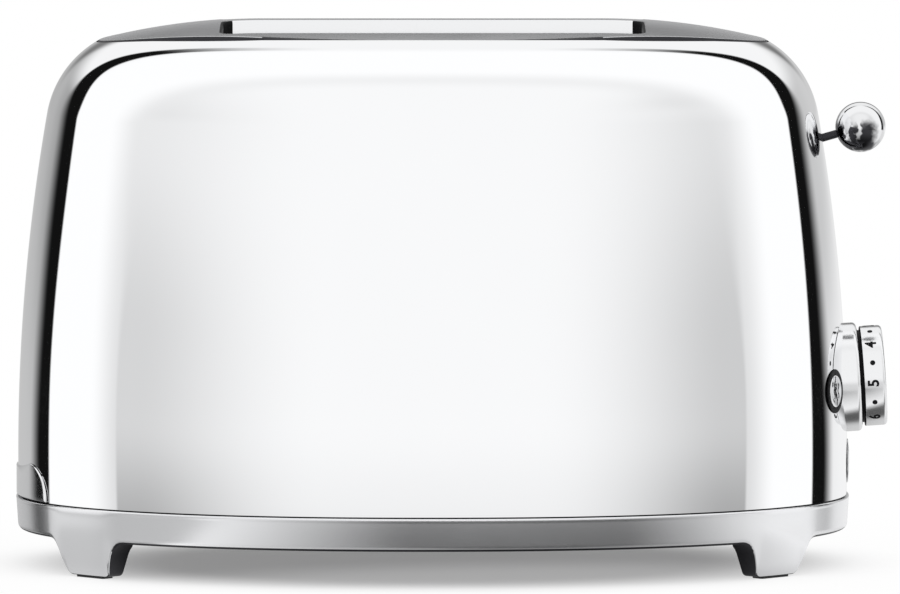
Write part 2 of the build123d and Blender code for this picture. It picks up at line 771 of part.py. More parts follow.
# Carriage: a sheet plate with two guide ears, a keeper arm and a boss for the lever rod
carriage_arm_top = carriage_bottom + carriage_arm_height
carriage_shoulder = upper_ear + carriage_sheet
neck_top = rod_boss_height + carriage_neck
guide_side = guide_y + guide_tab
ear_length = guide_reach - carriage_gap - carriage_sheet + guide_tab
with BuildPart() as carriage:
    with BuildSketch(Plane.YZ.offset(carriage_x)):
        with BuildLine():
            Polyline(
                (-carriage_half_width, carriage_bottom),
                (carriage_half_width, carriage_bottom),
                (carriage_half_width, carriage_arm_top),
                (guide_side, carriage_arm_top),
                (guide_side, carriage_shoulder),
                (upright_half_width, carriage_shoulder + carriage_neck),
                (upright_half_width, neck_top),
                (-upright_half_width, neck_top),
                (-upright_half_width, carriage_arm_top),
                (-carriage_half_width, carriage_arm_top),
                close=True,
            )
        make_face()
    extrude(amount=carriage_sheet)
    for height in (carriage_bottom, upper_ear):
        with BuildSketch(Plane.XY.offset(height)):
            with Locations((carriage_face_x + ear_length / 2, guide_y)):
                Rectangle(ear_length, 2 * guide_tab)
            with Locations((guide_x, guide_y)):
                Circle(guide_diameter / 2 + running_gap, mode=Mode.SUBTRACT)
        extrude(amount=carriage_sheet)
    with BuildSketch(Plane.XY.offset(carriage_bottom)):
        with Locations((carriage_face_x + ear_length / 2, magnet_y)):
            Rectangle(ear_length, magnet_side)
    extrude(amount=carriage_sheet)
    with BuildSketch(Plane.YZ.offset(carriage_face_x)):
        with Locations((0, rod_boss_height + rod_boss_length * rod_slope / 2)):
            Rectangle(rod_boss_side, rod_boss_side + rod_boss_length * rod_slope)
    extrude(amount=rod_boss_length)
    rod_plane = Plane(
        origin=(carriage_face_x + rod_end_inset, 0, rod_boss_height + rod_end_inset * rod_slope),
        x_dir=(0, 1, 0),
        z_dir=(cos(radians(rod_tilt)), 0, sin(radians(rod_tilt))),
    )
    with BuildSketch(rod_plane):
        Circle(rod_diameter / 2 + press_gap)
    extrude(amount=2 * rod_boss_length, mode=Mode.SUBTRACT)
save(carriage.part, "carriage")

with BuildPart() as carriage_bush:
    with BuildSketch(Plane.XY.offset(ear_top)):
        with Locations((guide_x, guide_y)):
            Circle(bush_diameter / 2)
            Circle(guide_diameter / 2 + slide_gap, mode=Mode.SUBTRACT)
    extrude(amount=bush_length)
save(carriage_bush.part, "carriage_bush")

with BuildPart() as latch_keeper:
    with BuildSketch(Plane.XY.offset(carriage_bottom - keeper_thickness)):
        with Locations((guide_x, magnet_y)):
            Rectangle(magnet_side, magnet_side)
    extrude(amount=keeper_thickness)
save(latch_keeper.part, "latch_keeper")

# Lever rod and ball
rod_length = (ball_x - carriage_face_x - rod_end_inset) / cos(radians(rod_tilt))
with BuildPart() as lever_rod:
    with BuildSketch(rod_plane):
        Circle(rod_diameter / 2)
    extrude(amount=rod_length)
save(lever_rod.part, "lever_rod")

with BuildPart() as lever_ball:
    with Locations((ball_x, 0, ball_height)):
        Sphere(ball_radius)
    with BuildSketch(rod_plane.offset(rod_length)):
        Circle(rod_diameter / 2 + press_gap)
    extrude(amount=-2 * ball_radius, mode=Mode.SUBTRACT)
save(lever_ball.part, "lever_ball")

# Guide rod between the tabs of the lever end wall
with BuildPart() as guide_rod:
    with BuildSketch(Plane.XY.offset(guide_foot_height - guide_end)):
        with Locations((guide_x, guide_y)):
            Circle(guide_diameter / 2)
    extrude(amount=guide_head_height - guide_foot_height + chassis_sheet + 2 * guide_end)
save(guide_rod.part, "guide_rod")

# Return spring round the guide rod, from the foot tab to the carriage
spring_bottom = guide_foot_height + chassis_sheet + spring_wire / 2
spring_rise = carriage_bottom - spring_wire / 2 - spring_bottom
with BuildPart() as return_spring:
    with BuildLine() as coil:
        Helix(
            spring_rise / spring_turns,
            spring_rise,
            spring_diameter / 2,
            center=(guide_x, guide_y, spring_bottom),
        )
    with BuildSketch(Plane(origin=coil.line @ 0, z_dir=coil.line % 0)):
        RegularPolygon(spring_wire / 2, 6)
    sweep(path=coil.line, is_frenet=True)
save(return_spring.part, "return_spring")

# Latch magnet: a U-shaped core with a coil between its poles
magnet_bottom = guide_foot_height + chassis_sheet
magnet_top = carriage_bottom - keeper_thickness - lever_travel - seam_gap
with BuildPart() as latch_core:
    with BuildSketch(Plane.YZ.offset(guide_x - magnet_side / 2)):
        with Locations((magnet_y, magnet_bottom)):
            Rectangle(magnet_side, magnet_top - magnet_bottom, align=(Align.CENTER, Align.MIN))
        with Locations((magnet_y, magnet_bottom + magnet_core_wall)):
            Rectangle(
                magnet_side - 2 * magnet_core_wall,
                magnet_top - magnet_bottom,
                align=(Align.CENTER, Align.MIN),
                mode=Mode.SUBTRACT,
            )
    extrude(amount=magnet_side)
save(latch_core.part, "latch_core")

with BuildPart() as latch_coil:
    with BuildSketch(Plane.XY.offset(magnet_bottom + magnet_core_wall)):
        with Locations((guide_x, magnet_y)):
            coil_width = magnet_side - 2 * magnet_core_wall - 2 * magnet_coil_gap
            RectangleRounded(magnet_side, coil_width, magnet_core_wall / 2)
    extrude(amount=magnet_top - magnet_bottom - magnet_core_wall - magnet_coil_gap)
save(latch_coil.part, "latch_coil")

# Dial bezel: a cup let into the shell, with a spigot back to the potentiometer
board_face = -control_board_depth
potentiometer_face = board_face + potentiometer_length
shaft_hole = dial_shaft_diameter / 2 + slide_gap
with BuildPart() as dial_bezel:
    with BuildSketch(dial_plane.offset(-bezel_depth)):
        Circle(bezel_diameter / 2)
    extrude(amount=bezel_depth + bezel_proud)
    fillet(dial_bezel.edges().filter_by(GeomType.CIRCLE).sort_by(Axis.X)[-1], bezel_round)
    with BuildSketch(dial_plane.offset(-bezel_depth + bezel_floor)):
        Circle(bezel_bore / 2)
    extrude(amount=bezel_depth + bezel_proud, mode=Mode.SUBTRACT)
    with BuildSketch(dial_plane.offset(potentiometer_face)):
        Circle(bezel_spigot / 2)
    extrude(amount=-bezel_depth - potentiometer_face)
    with BuildSketch(dial_plane.offset(potentiometer_face)):
        Circle(shaft_hole)
    extrude(amount=-potentiometer_face, mode=Mode.SUBTRACT)
save(dial_bezel.part, "dial_bezel")

# Dial drum with its hub, and the shaft that it turns
drum_back = bezel_proud + drum_gap
drum_front = drum_back + drum_length
with BuildPart() as dial_drum:
    with BuildSketch(dial_plane.offset(drum_back)):
        Circle(drum_diameter / 2)
    extrude(amount=drum_length)
    fillet(dial_drum.edges().filter_by(GeomType.CIRCLE).sort_by(Axis.X)[-1], drum_round)
    with BuildSketch(dial_plane.offset(drum_back - hub_length)):
        Circle(hub_diameter / 2)
    extrude(amount=hub_length)
    with BuildSketch(dial_plane.offset(drum_back - hub_length)):
        Circle(dial_shaft_diameter / 2 + press_gap)
    extrude(amount=hub_bore_depth, mode=Mode.SUBTRACT)
save(dial_drum.part, "dial_drum")

with BuildPart() as dial_shaft:
    shaft_back = potentiometer_face - potentiometer_bore_depth + running_gap
    with BuildSketch(dial_plane.offset(shaft_back)):
        Circle(dial_shaft_diameter / 2)
    extrude(amount=drum_back - hub_length + hub_bore_depth - running_gap - shaft_back)
save(dial_shaft.part, "dial_shaft")

# Potentiometer on the control board
with BuildPart() as potentiometer:
    with BuildSketch(dial_plane.offset(board_face)):
        Circle(potentiometer_diameter / 2)
    extrude(amount=potentiometer_length)
    with BuildSketch(dial_plane.offset(potentiometer_face)):
        Circle(shaft_hole)
    extrude(amount=-potentiometer_bore_depth, mode=Mode.SUBTRACT)
save(potentiometer.part, "potentiometer")

with BuildPart() as control_board:
    with BuildSketch(dial_plane.offset(board_face - control_board_sheet)):
        RectangleRounded(control_board_width, control_board_height, control_board_corner)
    extrude(amount=control_board_sheet)
save(control_board.part, "control_board")

# Board bracket: a slanted back plate behind the board on a foot
back = dial_plane.offset(board_face - control_board_sheet)
back_top = back.from_local_coords((0, control_board_height / 2, 0))
back_low = back.from_local_coords((0, -control_board_height / 2, 0))
low_x = back_low.X - (back_low.Z - base_plate_top) * tan(radians(-dial_tilt))
with BuildPart() as board_bracket:
    with BuildSketch(Plane.XZ.offset(-bracket_width / 2)):
        with BuildLine():
            Polyline(
                (low_x, base_plate_top),
                (back_top.X, back_top.Z),
                (back_top.X - bracket_sheet, back_top.Z),
                (low_x - bracket_sheet, base_plate_top + bracket_sheet),
                (low_x - bracket_foot, base_plate_top + bracket_sheet),
                (low_x - bracket_foot, base_plate_top),
                close=True,
            )
        make_face()
    extrude(amount=bracket_width)
save(board_bracket.part, "board_bracket")

# Programme buttons: a flanged housing through the shell, a switch behind it and the cap
for name, plane in button_planes.items():
    with BuildPart() as housing:
        with BuildSketch(plane):
            Circle(button_ring / 2)
        extrude(amount=button_ring_proud)
        with BuildSketch(plane.offset(-button_housing_length)):
            Circle(button_housing / 2)
        extrude(amount=button_housing_length)
        with BuildSketch(plane.offset(-button_housing_length + button_floor)):
            Circle(button_housing / 2 - button_housing_wall)
        extrude(amount=button_housing_length, mode=Mode.SUBTRACT)
        with BuildSketch(plane.offset(-button_housing_length)):
            Circle(button_stem / 2 + slide_gap)
        extrude(amount=button_floor, mode=Mode.SUBTRACT)
    save(housing.part, f"{name}_housing")
    with BuildPart() as switch:
        with BuildSketch(plane.offset(-button_housing_length - switch_length)):
            Rectangle(switch_side, switch_side)
        extrude(amount=switch_length)
    save(switch.part, f"{name}_switch")
    with BuildPart() as button:
        with BuildSketch(plane.offset(-button_cap_depth)):
            Circle(button_cap / 2)
        extrude(amount=button_cap_depth + button_cap_proud)
        fillet(button.edges().filter_by(GeomType.CIRCLE).sort_by(Axis.X)[-1], button_cap_round)
        stem_length = button_housing_length - button_cap_depth - button_travel - slide_gap
        with BuildSketch(plane.offset(-button_cap_depth)):
            Circle(button_stem / 2)
        extrude(amount=-stem_length)
    save(button.part, f"{name}_button")

# Crumb tray: a shallow pan whose outer end follows the shell, and its arched handle
handle_gap = seam_gap
with BuildPart() as crumb_tray:
    with BuildSketch(Plane.XY.offset(tray_floor)) as pan:
        pan_length = tray_inner_end + skirt_half_length
        with Locations((tray_inner_end - pan_length / 2, 0)):
            Rectangle(pan_length, 2 * tray_half_width)
        fillet(pan.vertices().group_by(Axis.X)[-1], tray_corner)
        add(body_oval(-handle_gap, 0), mode=Mode.INTERSECT)
    extrude(amount=tray_wall_height)
    with BuildSketch(Plane.XY.offset(tray_floor + tray_sheet)) as hollow:
        with Locations((tray_inner_end - tray_sheet - pan_length / 2, 0)):
            Rectangle(pan_length, 2 * (tray_half_width - tray_sheet))
        fillet(hollow.vertices().group_by(Axis.X)[-1], tray_corner - tray_sheet)
        add(body_oval(-handle_gap + tray_sheet, 0), mode=Mode.INTERSECT)
    extrude(amount=tray_wall_height, mode=Mode.SUBTRACT)
save(crumb_tray.part, "crumb_tray")

handle_bottom = skirt_top + seam_gap
with BuildPart() as tray_handle:
    with BuildSketch(Plane.XY.offset(handle_bottom)):
        add(body_oval(-tray_handle_proud, 0))
        add(body_oval(-handle_gap, 0), mode=Mode.SUBTRACT)
    extrude(amount=tray_handle_top - handle_bottom)
    with BuildSketch(Plane.YZ.offset(-skirt_half_length - cut_margin)) as arch:
        with Locations((0, handle_bottom)):
            arch_height = tray_handle_top - handle_bottom
            Rectangle(2 * tray_handle_half_width, arch_height, align=(Align.CENTER, Align.MIN))
        fillet(arch.vertices().group_by(Axis.Y)[-1], tray_handle_corner)
    extrude(amount=body_half_length, mode=Mode.INTERSECT)
save(tray_handle.part, "tray_handle")

# Tray runners: angle rails on the base plate
for label, side in (("front_tray_runner", -1), ("rear_tray_runner", 1)):
    with BuildPart() as runner:
        inner = side * (tray_half_width + running_gap)
        outer = side * (tray_half_width + running_gap + runner_sheet)
        shelf = side * (tray_half_width + running_gap - runner_flange)
        shelf_top = tray_floor - seam_gap
        with BuildSketch(Plane.YZ.offset(-runner_half_length)):
            with BuildLine():
                Polyline(
                    (outer, base_plate_top),
                    (outer, runner_top),
                    (inner, runner_top),
                    (inner, shelf_top),
                    (shelf, shelf_top),
                    (shelf, shelf_top - runner_sheet),
                    (inner, shelf_top - runner_sheet),
                    (inner, base_plate_top),
                    close=True,
                )
            make_face()
        extrude(amount=2 * runner_half_length)
    save(runner.part, label)
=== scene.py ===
# %% [markdown]
# # A retro toaster in mirror steel
# This notebook dresses a finished CAD model of a two-slot toaster. The CAD says where every
# piece is and how it moves. Here each piece that shows gets a smooth mesh, where a mirror
# needs one, and a finish: mirror steel, satin castings, chrome, rubber and bright wire.
#
# Blender counts in metres and a maker in millimetres. Sizes of pieces are written here in
# millimetres, and MM turns them into metres where a mesh is made.

# %% Load the fixed frame
import json
from functools import partial
from math import acos, asin, cos, degrees, pi, radians, sin, sqrt, tan

import bmesh
import bpy
import numpy as np
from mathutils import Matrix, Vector
from mathutils.geometry import delaunay_2d_cdt


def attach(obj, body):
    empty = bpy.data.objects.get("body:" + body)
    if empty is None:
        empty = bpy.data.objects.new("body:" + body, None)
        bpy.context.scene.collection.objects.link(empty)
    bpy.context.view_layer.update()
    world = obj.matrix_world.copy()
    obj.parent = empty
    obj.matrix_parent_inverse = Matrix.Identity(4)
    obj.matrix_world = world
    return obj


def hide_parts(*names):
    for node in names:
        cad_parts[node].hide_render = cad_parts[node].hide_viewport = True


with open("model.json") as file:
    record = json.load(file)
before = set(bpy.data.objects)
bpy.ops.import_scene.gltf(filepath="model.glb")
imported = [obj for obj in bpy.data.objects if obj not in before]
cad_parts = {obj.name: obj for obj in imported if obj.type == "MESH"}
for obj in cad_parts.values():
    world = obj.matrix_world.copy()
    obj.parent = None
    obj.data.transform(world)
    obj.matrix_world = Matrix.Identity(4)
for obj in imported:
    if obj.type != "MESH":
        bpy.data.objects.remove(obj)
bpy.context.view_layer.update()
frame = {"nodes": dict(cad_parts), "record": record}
MM = 0.001

# %% [markdown]
# ## The camera
# The photograph was taken from far away with a long lens, so the toaster shows almost no
# perspective. A camera without any perspective would be simpler, but the real one's little
# bit shows in the slots and the rear legs. A lens of about 414 mm at 3.8 m does the same. The
# camera stands a little above the toaster and looks slightly down.

# %% Camera
camera_distance = 3.8
camera_height = 0.393
aim = Vector((0.0064, 0.0, 0.098))
camera_data = bpy.data.cameras.new("camera")
camera_data.lens = 414.2
camera_data.sensor_width = 36.0
camera_data.clip_end = 100.0
camera = bpy.data.objects.new("camera", camera_data)
bpy.context.scene.collection.objects.link(camera)
camera.location = (0.0, -camera_distance, camera_height)
camera.rotation_euler = (aim - camera.location).to_track_quat("-Z", "Y").to_euler()
bpy.context.scene.camera = camera
bpy.context.scene.view_settings.view_transform = "Standard"
print("camera looks down by", round(degrees(asin((camera_height - aim.z) / camera_distance)), 2), "degrees")

# %% [markdown]
# ## Node helpers
# Every finish below is a small node graph. Graphs can be drawn by hand in the shader editor,
# but written down they can be read, measured and changed one number at a time. These helpers
# add a node, link what feeds it and hand back its output, so that a graph reads like sums.


# %% Node helpers
class Graph:
    """Adds nodes to one tree. A number or an output socket may feed any input."""

    def __init__(self, tree):
        self.tree = tree
        tree.nodes.clear()

    def node(self, kind, **settings):
        made = self.tree.nodes.new(kind)
        for name, value in settings.items():
            setattr(made, name, value)
        return made

    def feed(self, socket, value):
        if isinstance(value, bpy.types.NodeSocket):
            self.tree.links.new(value, socket)
        elif value is not None:
            socket.default_value = value

    def math(self, operation, first, second=None):
        made = self.node("ShaderNodeMath", operation=operation)
        self.feed(made.inputs[0], first)
        self.feed(made.inputs[1], second)
        return made.outputs[0]

    def plus(self, first, second):
        return self.math("ADD", first, second)

    def minus(self, first, second):
        return self.math("SUBTRACT", first, second)

    def times(self, first, *others):
        """The product of all that is given."""
        for other in others:
            first = self.math("MULTIPLY", first, other)
        return first

    def ramp(self, value, low, high, start=0.0, end=1.0, smooth=True):
        """Goes from start to end while value goes from low to high."""
        shape = "SMOOTHSTEP" if smooth else "LINEAR"
        made = self.node("ShaderNodeMapRange", interpolation_type=shape)
        self.feed(made.inputs["Value"], value)
        for name, number in (("From Min", low), ("From Max", high), ("To Min", start), ("To Max", end)):
            self.feed(made.inputs[name], number)
        return made.outputs["Result"]

    def blend(self, share, first, second):
        """A number between first and second."""
        made = self.node("ShaderNodeMix", data_type="FLOAT")
        self.feed(made.inputs["Factor"], share)
        self.feed(made.inputs["A"], first)
        self.feed(made.inputs["B"], second)
        return made.outputs["Result"]

    def blend_colours(self, share, first, second):
        """A colour between two given ones."""
        made = self.node("ShaderNodeMix", data_type="RGBA")
        self.feed(made.inputs["Factor"], share)
        made.inputs["A"].default_value = (*first, 1)
        made.inputs["B"].default_value = (*second, 1)
        return made.outputs["Result"]

    def finish_with(self, kind, shader):
        """Ends the graph: joins a shader node to a material's or a world's output."""
        self.feed(self.node(f"ShaderNodeOutput{kind}").inputs["Surface"], shader.outputs[0])


def new_material(name):
    """An empty material with its node graph."""
    material = bpy.data.materials.new(name)
    material.use_nodes = True
    return material, Graph(material.node_tree)


print("node helpers:", [name for name in vars(Graph) if not name.startswith("_")])

# %% [markdown]
# ## The studio
# A mirror has no colour of its own: what it shows is the room. The room could be built from
# cards and lamps, but on a body that curves both ways each card lands somewhere unexpected,
# and edges come out too hard. So the room is the world here: one brightness for each
# direction, worked out from three angles. The camera sees plain white behind the toaster,
# matt surfaces get plain soft light from everywhere, and metal sees the drawn room.

# %% Directions in the room
world = bpy.data.worlds.new("studio")
world.use_nodes = True
world.cycles.sampling_method = "NONE"
bpy.context.scene.world = world
g = Graph(world.node_tree)
split = g.node("ShaderNodeSeparateXYZ")
g.feed(split.inputs[0], g.node("ShaderNodeTexCoord").outputs["Generated"])
to_right, to_back, upward = split.outputs
in_degrees = 180 / pi
side_x = g.math("ABSOLUTE", to_right)
aside = g.times(g.math("ARCSINE", side_x), in_degrees)
off_axis = g.times(g.math("ARCCOSINE", g.times(to_back, -1.0)), in_degrees)
elevation = g.times(g.math("ARCSINE", upward), in_degrees)
print("a direction takes", len(world.node_tree.nodes), "nodes to measure")

# %% [markdown]
# ### The wall in front
# The broad face of the toaster shows a white wall round the camera. It dims a little to its
# sides and towards the table. Past about 68 degrees two brighter panels begin at an edge,
# sharp low down and soft higher up. The edge is the faint upright line near each end of the
# toaster's face.

# %% Front wall and side panels
wall_side = g.blend(g.ramp(elevation, 14, 2), 0.80, 0.645)
wall_side = g.blend(g.ramp(elevation, -2.5, -8.5), wall_side, 0.42)
wall_side = g.blend(g.ramp(elevation, -8.5, -12), wall_side, 0.92)
high_right = g.times(g.ramp(to_right, 0.3, 0.65), g.ramp(elevation, 25, 40))
left_light = g.blend(g.ramp(elevation, 25, 10), 1.0, g.ramp(to_right, -0.5, 0.5, 1.07, 0.97))
wall_side = g.times(wall_side, g.blend(high_right, 1.0, 0.84), left_light)
wall_middle = g.blend(g.ramp(elevation, -2, -9), 0.98, 0.90)
front_wall = g.blend(g.ramp(aside, 14, 62), wall_middle, wall_side)
panel_start = g.blend(g.ramp(elevation, 22, -9), 0.88, 0.72)
side_panel = g.blend(g.ramp(off_axis, 67, 84), panel_start, 1.03)
edge_softness = g.ramp(elevation, -2, 20, 0.7, 9.0)
panel_edge = g.plus(g.ramp(to_right, -0.3, 0.3, 68.2, 67.0), g.ramp(elevation, 8, -2, 0.0, 2.2))
edge_start = g.minus(panel_edge, edge_softness)
edge_end = g.plus(panel_edge, edge_softness)
room = g.blend(g.ramp(off_axis, edge_start, edge_end), front_wall, side_panel)
print("the wall and panels bring it to", len(world.node_tree.nodes), "nodes")

# %% [markdown]
# ### The black gap
# Behind the panels the studio is dark. On the steep corners of the body that wide darkness
# shrinks to the black line down each end. Its front edge is crisp. Its back edge is soft low
# down and sharper overhead, and the gap closes towards the axis, so that the line ends in a
# point.

# %% Black gap
low_left = g.times(g.ramp(to_right, 0.0, -0.5), g.ramp(elevation, 6, -3))
gap_start = g.plus(g.ramp(elevation, 14, 42, 110.0, 116.5), g.times(low_left, 3.0))
gap_start = g.minus(gap_start, g.ramp(to_right, 0.0, 0.5, 0.0, 0.8))
gap_end = g.ramp(side_x, 0.25, 0.75, 121.0, 126.5)
gap_end = g.plus(gap_end, g.ramp(to_right, -0.5, 0.5, 2.5, 0.0))
gap_end = g.plus(gap_end, g.ramp(elevation, 0, -5, 0.0, 2.5))
gap_softness = g.ramp(elevation, 30, 5, 1.0, 7.5)
past_start = g.ramp(off_axis, gap_start, g.plus(gap_start, 1.8))
before_end = g.ramp(off_axis, g.plus(gap_end, gap_softness), g.minus(gap_end, gap_softness))
low_gap = g.ramp(to_right, -0.2, 0.2, 0.80, 0.0)
gap = g.times(past_start, before_end, g.ramp(side_x, 0.06, 0.36))
gap = g.times(gap, g.blend(g.ramp(elevation, -7, -10), 1.0, low_gap))
print("the gap brings it to", len(world.node_tree.nodes), "nodes")

# %% [markdown]
# ### The room behind
# Past the gap the room is grey, darker on the left than on the right, and almost white
# overhead. Straight behind the toaster it is dark between the table's glow and that light,
# which gives a mirror seen from behind its contrast.


# %% Room behind
def from_left_to_right(left, right):
    """A tone with one value on the left of the room and another on its right."""
    return g.blend(g.ramp(to_right, -0.3, 0.3), left, right)


near_tone = from_left_to_right(g.ramp(elevation, 2, -5, 0.37, 0.52), g.ramp(elevation, 1, -5, 0.58, 0.88))
far_tone = from_left_to_right(g.ramp(elevation, 2, -5, 0.46, 0.55), g.ramp(elevation, 1, -5, 0.62, 0.92))
back_tone = g.blend(g.ramp(off_axis, 130, 150), near_tone, far_tone)
back_tone = g.blend(g.ramp(elevation, 14, 30), back_tone, 0.95)
behind = g.times(g.ramp(off_axis, 146, 158), g.ramp(side_x, 0.42, 0.28))
behind = g.times(behind, g.ramp(elevation, 4, 15), g.ramp(elevation, 37, 24))
back_tone = g.blend(behind, back_tone, 0.20)
room = g.blend(g.ramp(off_axis, 112, 122), room, back_tone)
room = g.blend(gap, room, 0.006)
print("the room behind brings it to", len(world.node_tree.nodes), "nodes")

# %% [markdown]
# ### The table, and who sees what
# Below the horizon lies a pale table, lighter to the right. The nearer it lies in front of
# the toaster, the darker it is. Last come the kinds of ray: the camera's see white, metal's
# see the room, and all others get even light.

# %% Table and rays
soft_light, plain_white = 0.95, 1.0
table = g.times(g.ramp(to_right, -0.9, 0.9, 0.60, 0.92), room)
room = g.blend(g.ramp(elevation, -7, -12), room, table)
near_table = g.times(g.ramp(elevation, -18, -62), g.ramp(off_axis, 100, 70))
room = g.blend(near_table, room, 0.22)
room = g.blend(g.ramp(elevation, -52, -78), room, 0.10)
paths = g.node("ShaderNodeLightPath")
metal_ray = g.math("MAXIMUM", paths.outputs["Is Glossy Ray"], paths.outputs["Is Transmission Ray"])
level = g.blend(metal_ray, soft_light, room)
level = g.blend(paths.outputs["Is Camera Ray"], level, plain_white)
background = g.node("ShaderNodeBackground")
g.feed(background.inputs["Strength"], level)
background.inputs["Color"].default_value = (1, 1, 1, 1)
g.finish_with("World", background)
print("the studio has", len(world.node_tree.nodes), "nodes")

# %% [markdown]
# ## The floor
# A plain pale disc catches the soft shadow. A shadow alone would leave the disc's edge and a
# grey ground in the picture, so the disc mixes a matt surface with plain white: nearly all
# matt under the toaster, and all white further out. Metal sees two dark places on it: the
# shadow right under the toaster, and a shaded patch in front, which is what makes the middle
# of the satin base dark. Only what is close to the floor sees that patch. Further out metal
# sees the table that the world draws.

# %% Ovals on the floor
floor_material, g = new_material("pale_floor")
floor_place = g.node("ShaderNodeNewGeometry").outputs["Position"]
light_path = g.node("ShaderNodeLightPath")


def far_from(centre, half_size):
    """Distance from a place on the floor, where 1 is an oval of that half size, in metres."""
    moved = g.node("ShaderNodeMapping", vector_type="TEXTURE")
    g.feed(moved.inputs["Vector"], floor_place)
    moved.inputs["Location"].default_value = (*centre, 0)
    moved.inputs["Scale"].default_value = (*half_size, 1)
    length = g.node("ShaderNodeVectorMath", operation="LENGTH")
    g.feed(length.inputs[0], moved.outputs["Vector"])
    return length.outputs["Value"]


from_middle = far_from((0, 0), (0.150, 0.100))
from_patch = far_from((0.055, -0.190), (0.110, 0.100))
print("the ovals take", len(floor_material.node_tree.nodes), "nodes")


# %% What the camera and the metal see of the floor
def mix_shaders(share, first, second):
    """Two shaders mixed by a share of the second."""
    mixed = g.node("ShaderNodeMixShader")
    for socket, value in zip(mixed.inputs, (share, first.outputs[0], second.outputs[0])):
        g.feed(socket, value)
    return mixed


matt = g.node("ShaderNodeBsdfDiffuse")
matt.inputs["Color"].default_value = (0.97, 0.97, 0.975, 1)
white = g.node("ShaderNodeEmission")
white.inputs["Strength"].default_value = plain_white
white_near = g.ramp(from_patch, 2.1, 1.5, 0.25, 0.36)
white_share = g.blend(g.ramp(from_middle, 0.64, 1.24), white_near, 0.94)
white_share = g.blend(g.ramp(from_middle, 1.1, 2.4), white_share, 1.0)
seen_plainly = mix_shaders(white_share, matt, white)
shadow_tone, patch_tone = 0.04, 0.11
outside_shadow = g.ramp(from_middle, 0.85, 1.08)
outside_patch = g.ramp(from_patch, 0.7, 1.8, patch_tone, 1.0, False)
dark_places = g.node("ShaderNodeEmission")
g.feed(dark_places.inputs["Strength"], g.blend(outside_shadow, shadow_tone, outside_patch))
too_far = g.ramp(light_path.outputs["Ray Length"], 0.13, 0.18)
past_patch = g.math("MAXIMUM", g.ramp(from_patch, 1.75, 1.95), too_far)
open_floor = g.times(outside_shadow, past_patch)
seen_in_metal = mix_shaders(open_floor, dark_places, g.node("ShaderNodeBsdfTransparent"))
g.finish_with("Material", mix_shaders(light_path.outputs["Is Glossy Ray"], seen_plainly, seen_in_metal))
print("the floor's material has", len(floor_material.node_tree.nodes), "nodes")

# %% Floor disc
floor_radius = 1.4
bm = bmesh.new()
bmesh.ops.create_circle(bm, cap_ends=True, segments=128, radius=floor_radius)
floor_mesh = bpy.data.meshes.new("floor")
bm.to_mesh(floor_mesh)
bm.free()
floor_mesh.materials.append(floor_material)
floor = bpy.data.objects.new("floor", floor_mesh)
bpy.context.scene.collection.objects.link(floor)
print("floor disc radius", floor_radius, "m")

# %% [markdown]
# ## The finishes
# Each metal on the toaster is the same shader, Principled with metallic at or near 1, told
# apart by how the surface was worked. Polishing leaves almost no roughness. Blasting and
# casting leave a fine even grain. A picture of grain would repeat and blur close up, so a
# noise texture in the object's own space gives it to the bump, and a broader cloud varies
# the roughness and the tint, as handling and polishing do.


# %% How a finish is made
def finish(name, colour, roughness, metallic=0.0, grain=0.0, grain_size=0.4, spread=0.0, tint=0.0, **more):
    """A Principled finish with an even grain: bump, spread of roughness and slight tint."""
    material, g = new_material(name)
    shader = g.node("ShaderNodeBsdfPrincipled")
    shader.inputs["Metallic"].default_value = metallic
    for socket, value in more.items():
        shader.inputs[socket.replace("_", " ")].default_value = value
    place = g.node("ShaderNodeTexCoord").outputs["Object"]
    speckle, cloud = g.node("ShaderNodeTexNoise"), g.node("ShaderNodeTexNoise")
    for noise, scale, detail in ((speckle, 1.0 / (grain_size * MM), 3.0), (cloud, 28.0, 2.0)):
        g.feed(noise.inputs["Vector"], place)
        noise.inputs["Scale"].default_value = scale
        noise.inputs["Detail"].default_value = detail
    wear = g.blend(0.5, speckle.outputs[0], cloud.outputs[0])
    smoothest, roughest = max(roughness - spread, 0.0), roughness + spread
    g.feed(shader.inputs["Roughness"], g.ramp(wear, 0.3, 0.7, smoothest, roughest, False))
    darker = [value * (1 - tint) for value in colour]
    g.feed(shader.inputs["Base Color"], g.blend_colours(cloud.outputs[0], darker, colour))
    if grain:
        bump = g.node("ShaderNodeBump")
        bump.inputs["Strength"].default_value = grain
        bump.inputs["Distance"].default_value = 0.05 * MM
        g.feed(bump.inputs["Height"], speckle.outputs[0])
        g.feed(shader.inputs["Normal"], bump.outputs[0])
    g.finish_with("Material", shader)
    return material


print("materials before the finishes:", len(bpy.data.materials))

# %% Bare metals
# after the colour: roughness, metallic, grain, grain size in mm, spread of roughness, tint
mirror_steel = finish("mirror_steel", (0.965, 0.97, 0.98), 0.03, 1.0, spread=0.012, tint=0.01)
satin_steel = finish("satin_steel", (0.74, 0.745, 0.765), 0.24, 1.0, 0.08, 0.3, 0.03, 0.02)
cast_satin = finish("cast_satin", (0.86, 0.865, 0.88), 0.19, 1.0, 0.05, 0.5, 0.02, 0.02)
chrome = finish("chrome", (0.93, 0.935, 0.945), 0.05, 1.0, spread=0.01, tint=0.01)
satin_chrome = finish("satin_chrome", (0.90, 0.905, 0.915), 0.15, 1.0, 0.06, 0.25, 0.02, 0.02)
pressed_steel = finish("pressed_steel", (0.90, 0.905, 0.915), 0.09, 1.0, 0.03, 0.3, 0.02, 0.02)
bright_wire = finish("bright_wire", (0.72, 0.72, 0.74), 0.16, 1.0, 0.1, 0.5, 0.05, 0.05)
zinc_sheet = finish("zinc_sheet", (0.62, 0.63, 0.65), 0.34, 1.0, 0.2, 3.0, 0.08, 0.12)
dark_steel = finish("dark_steel", (0.04, 0.04, 0.045), 0.45, 0.8, 0.2, 0.6, 0.08, 0.1)
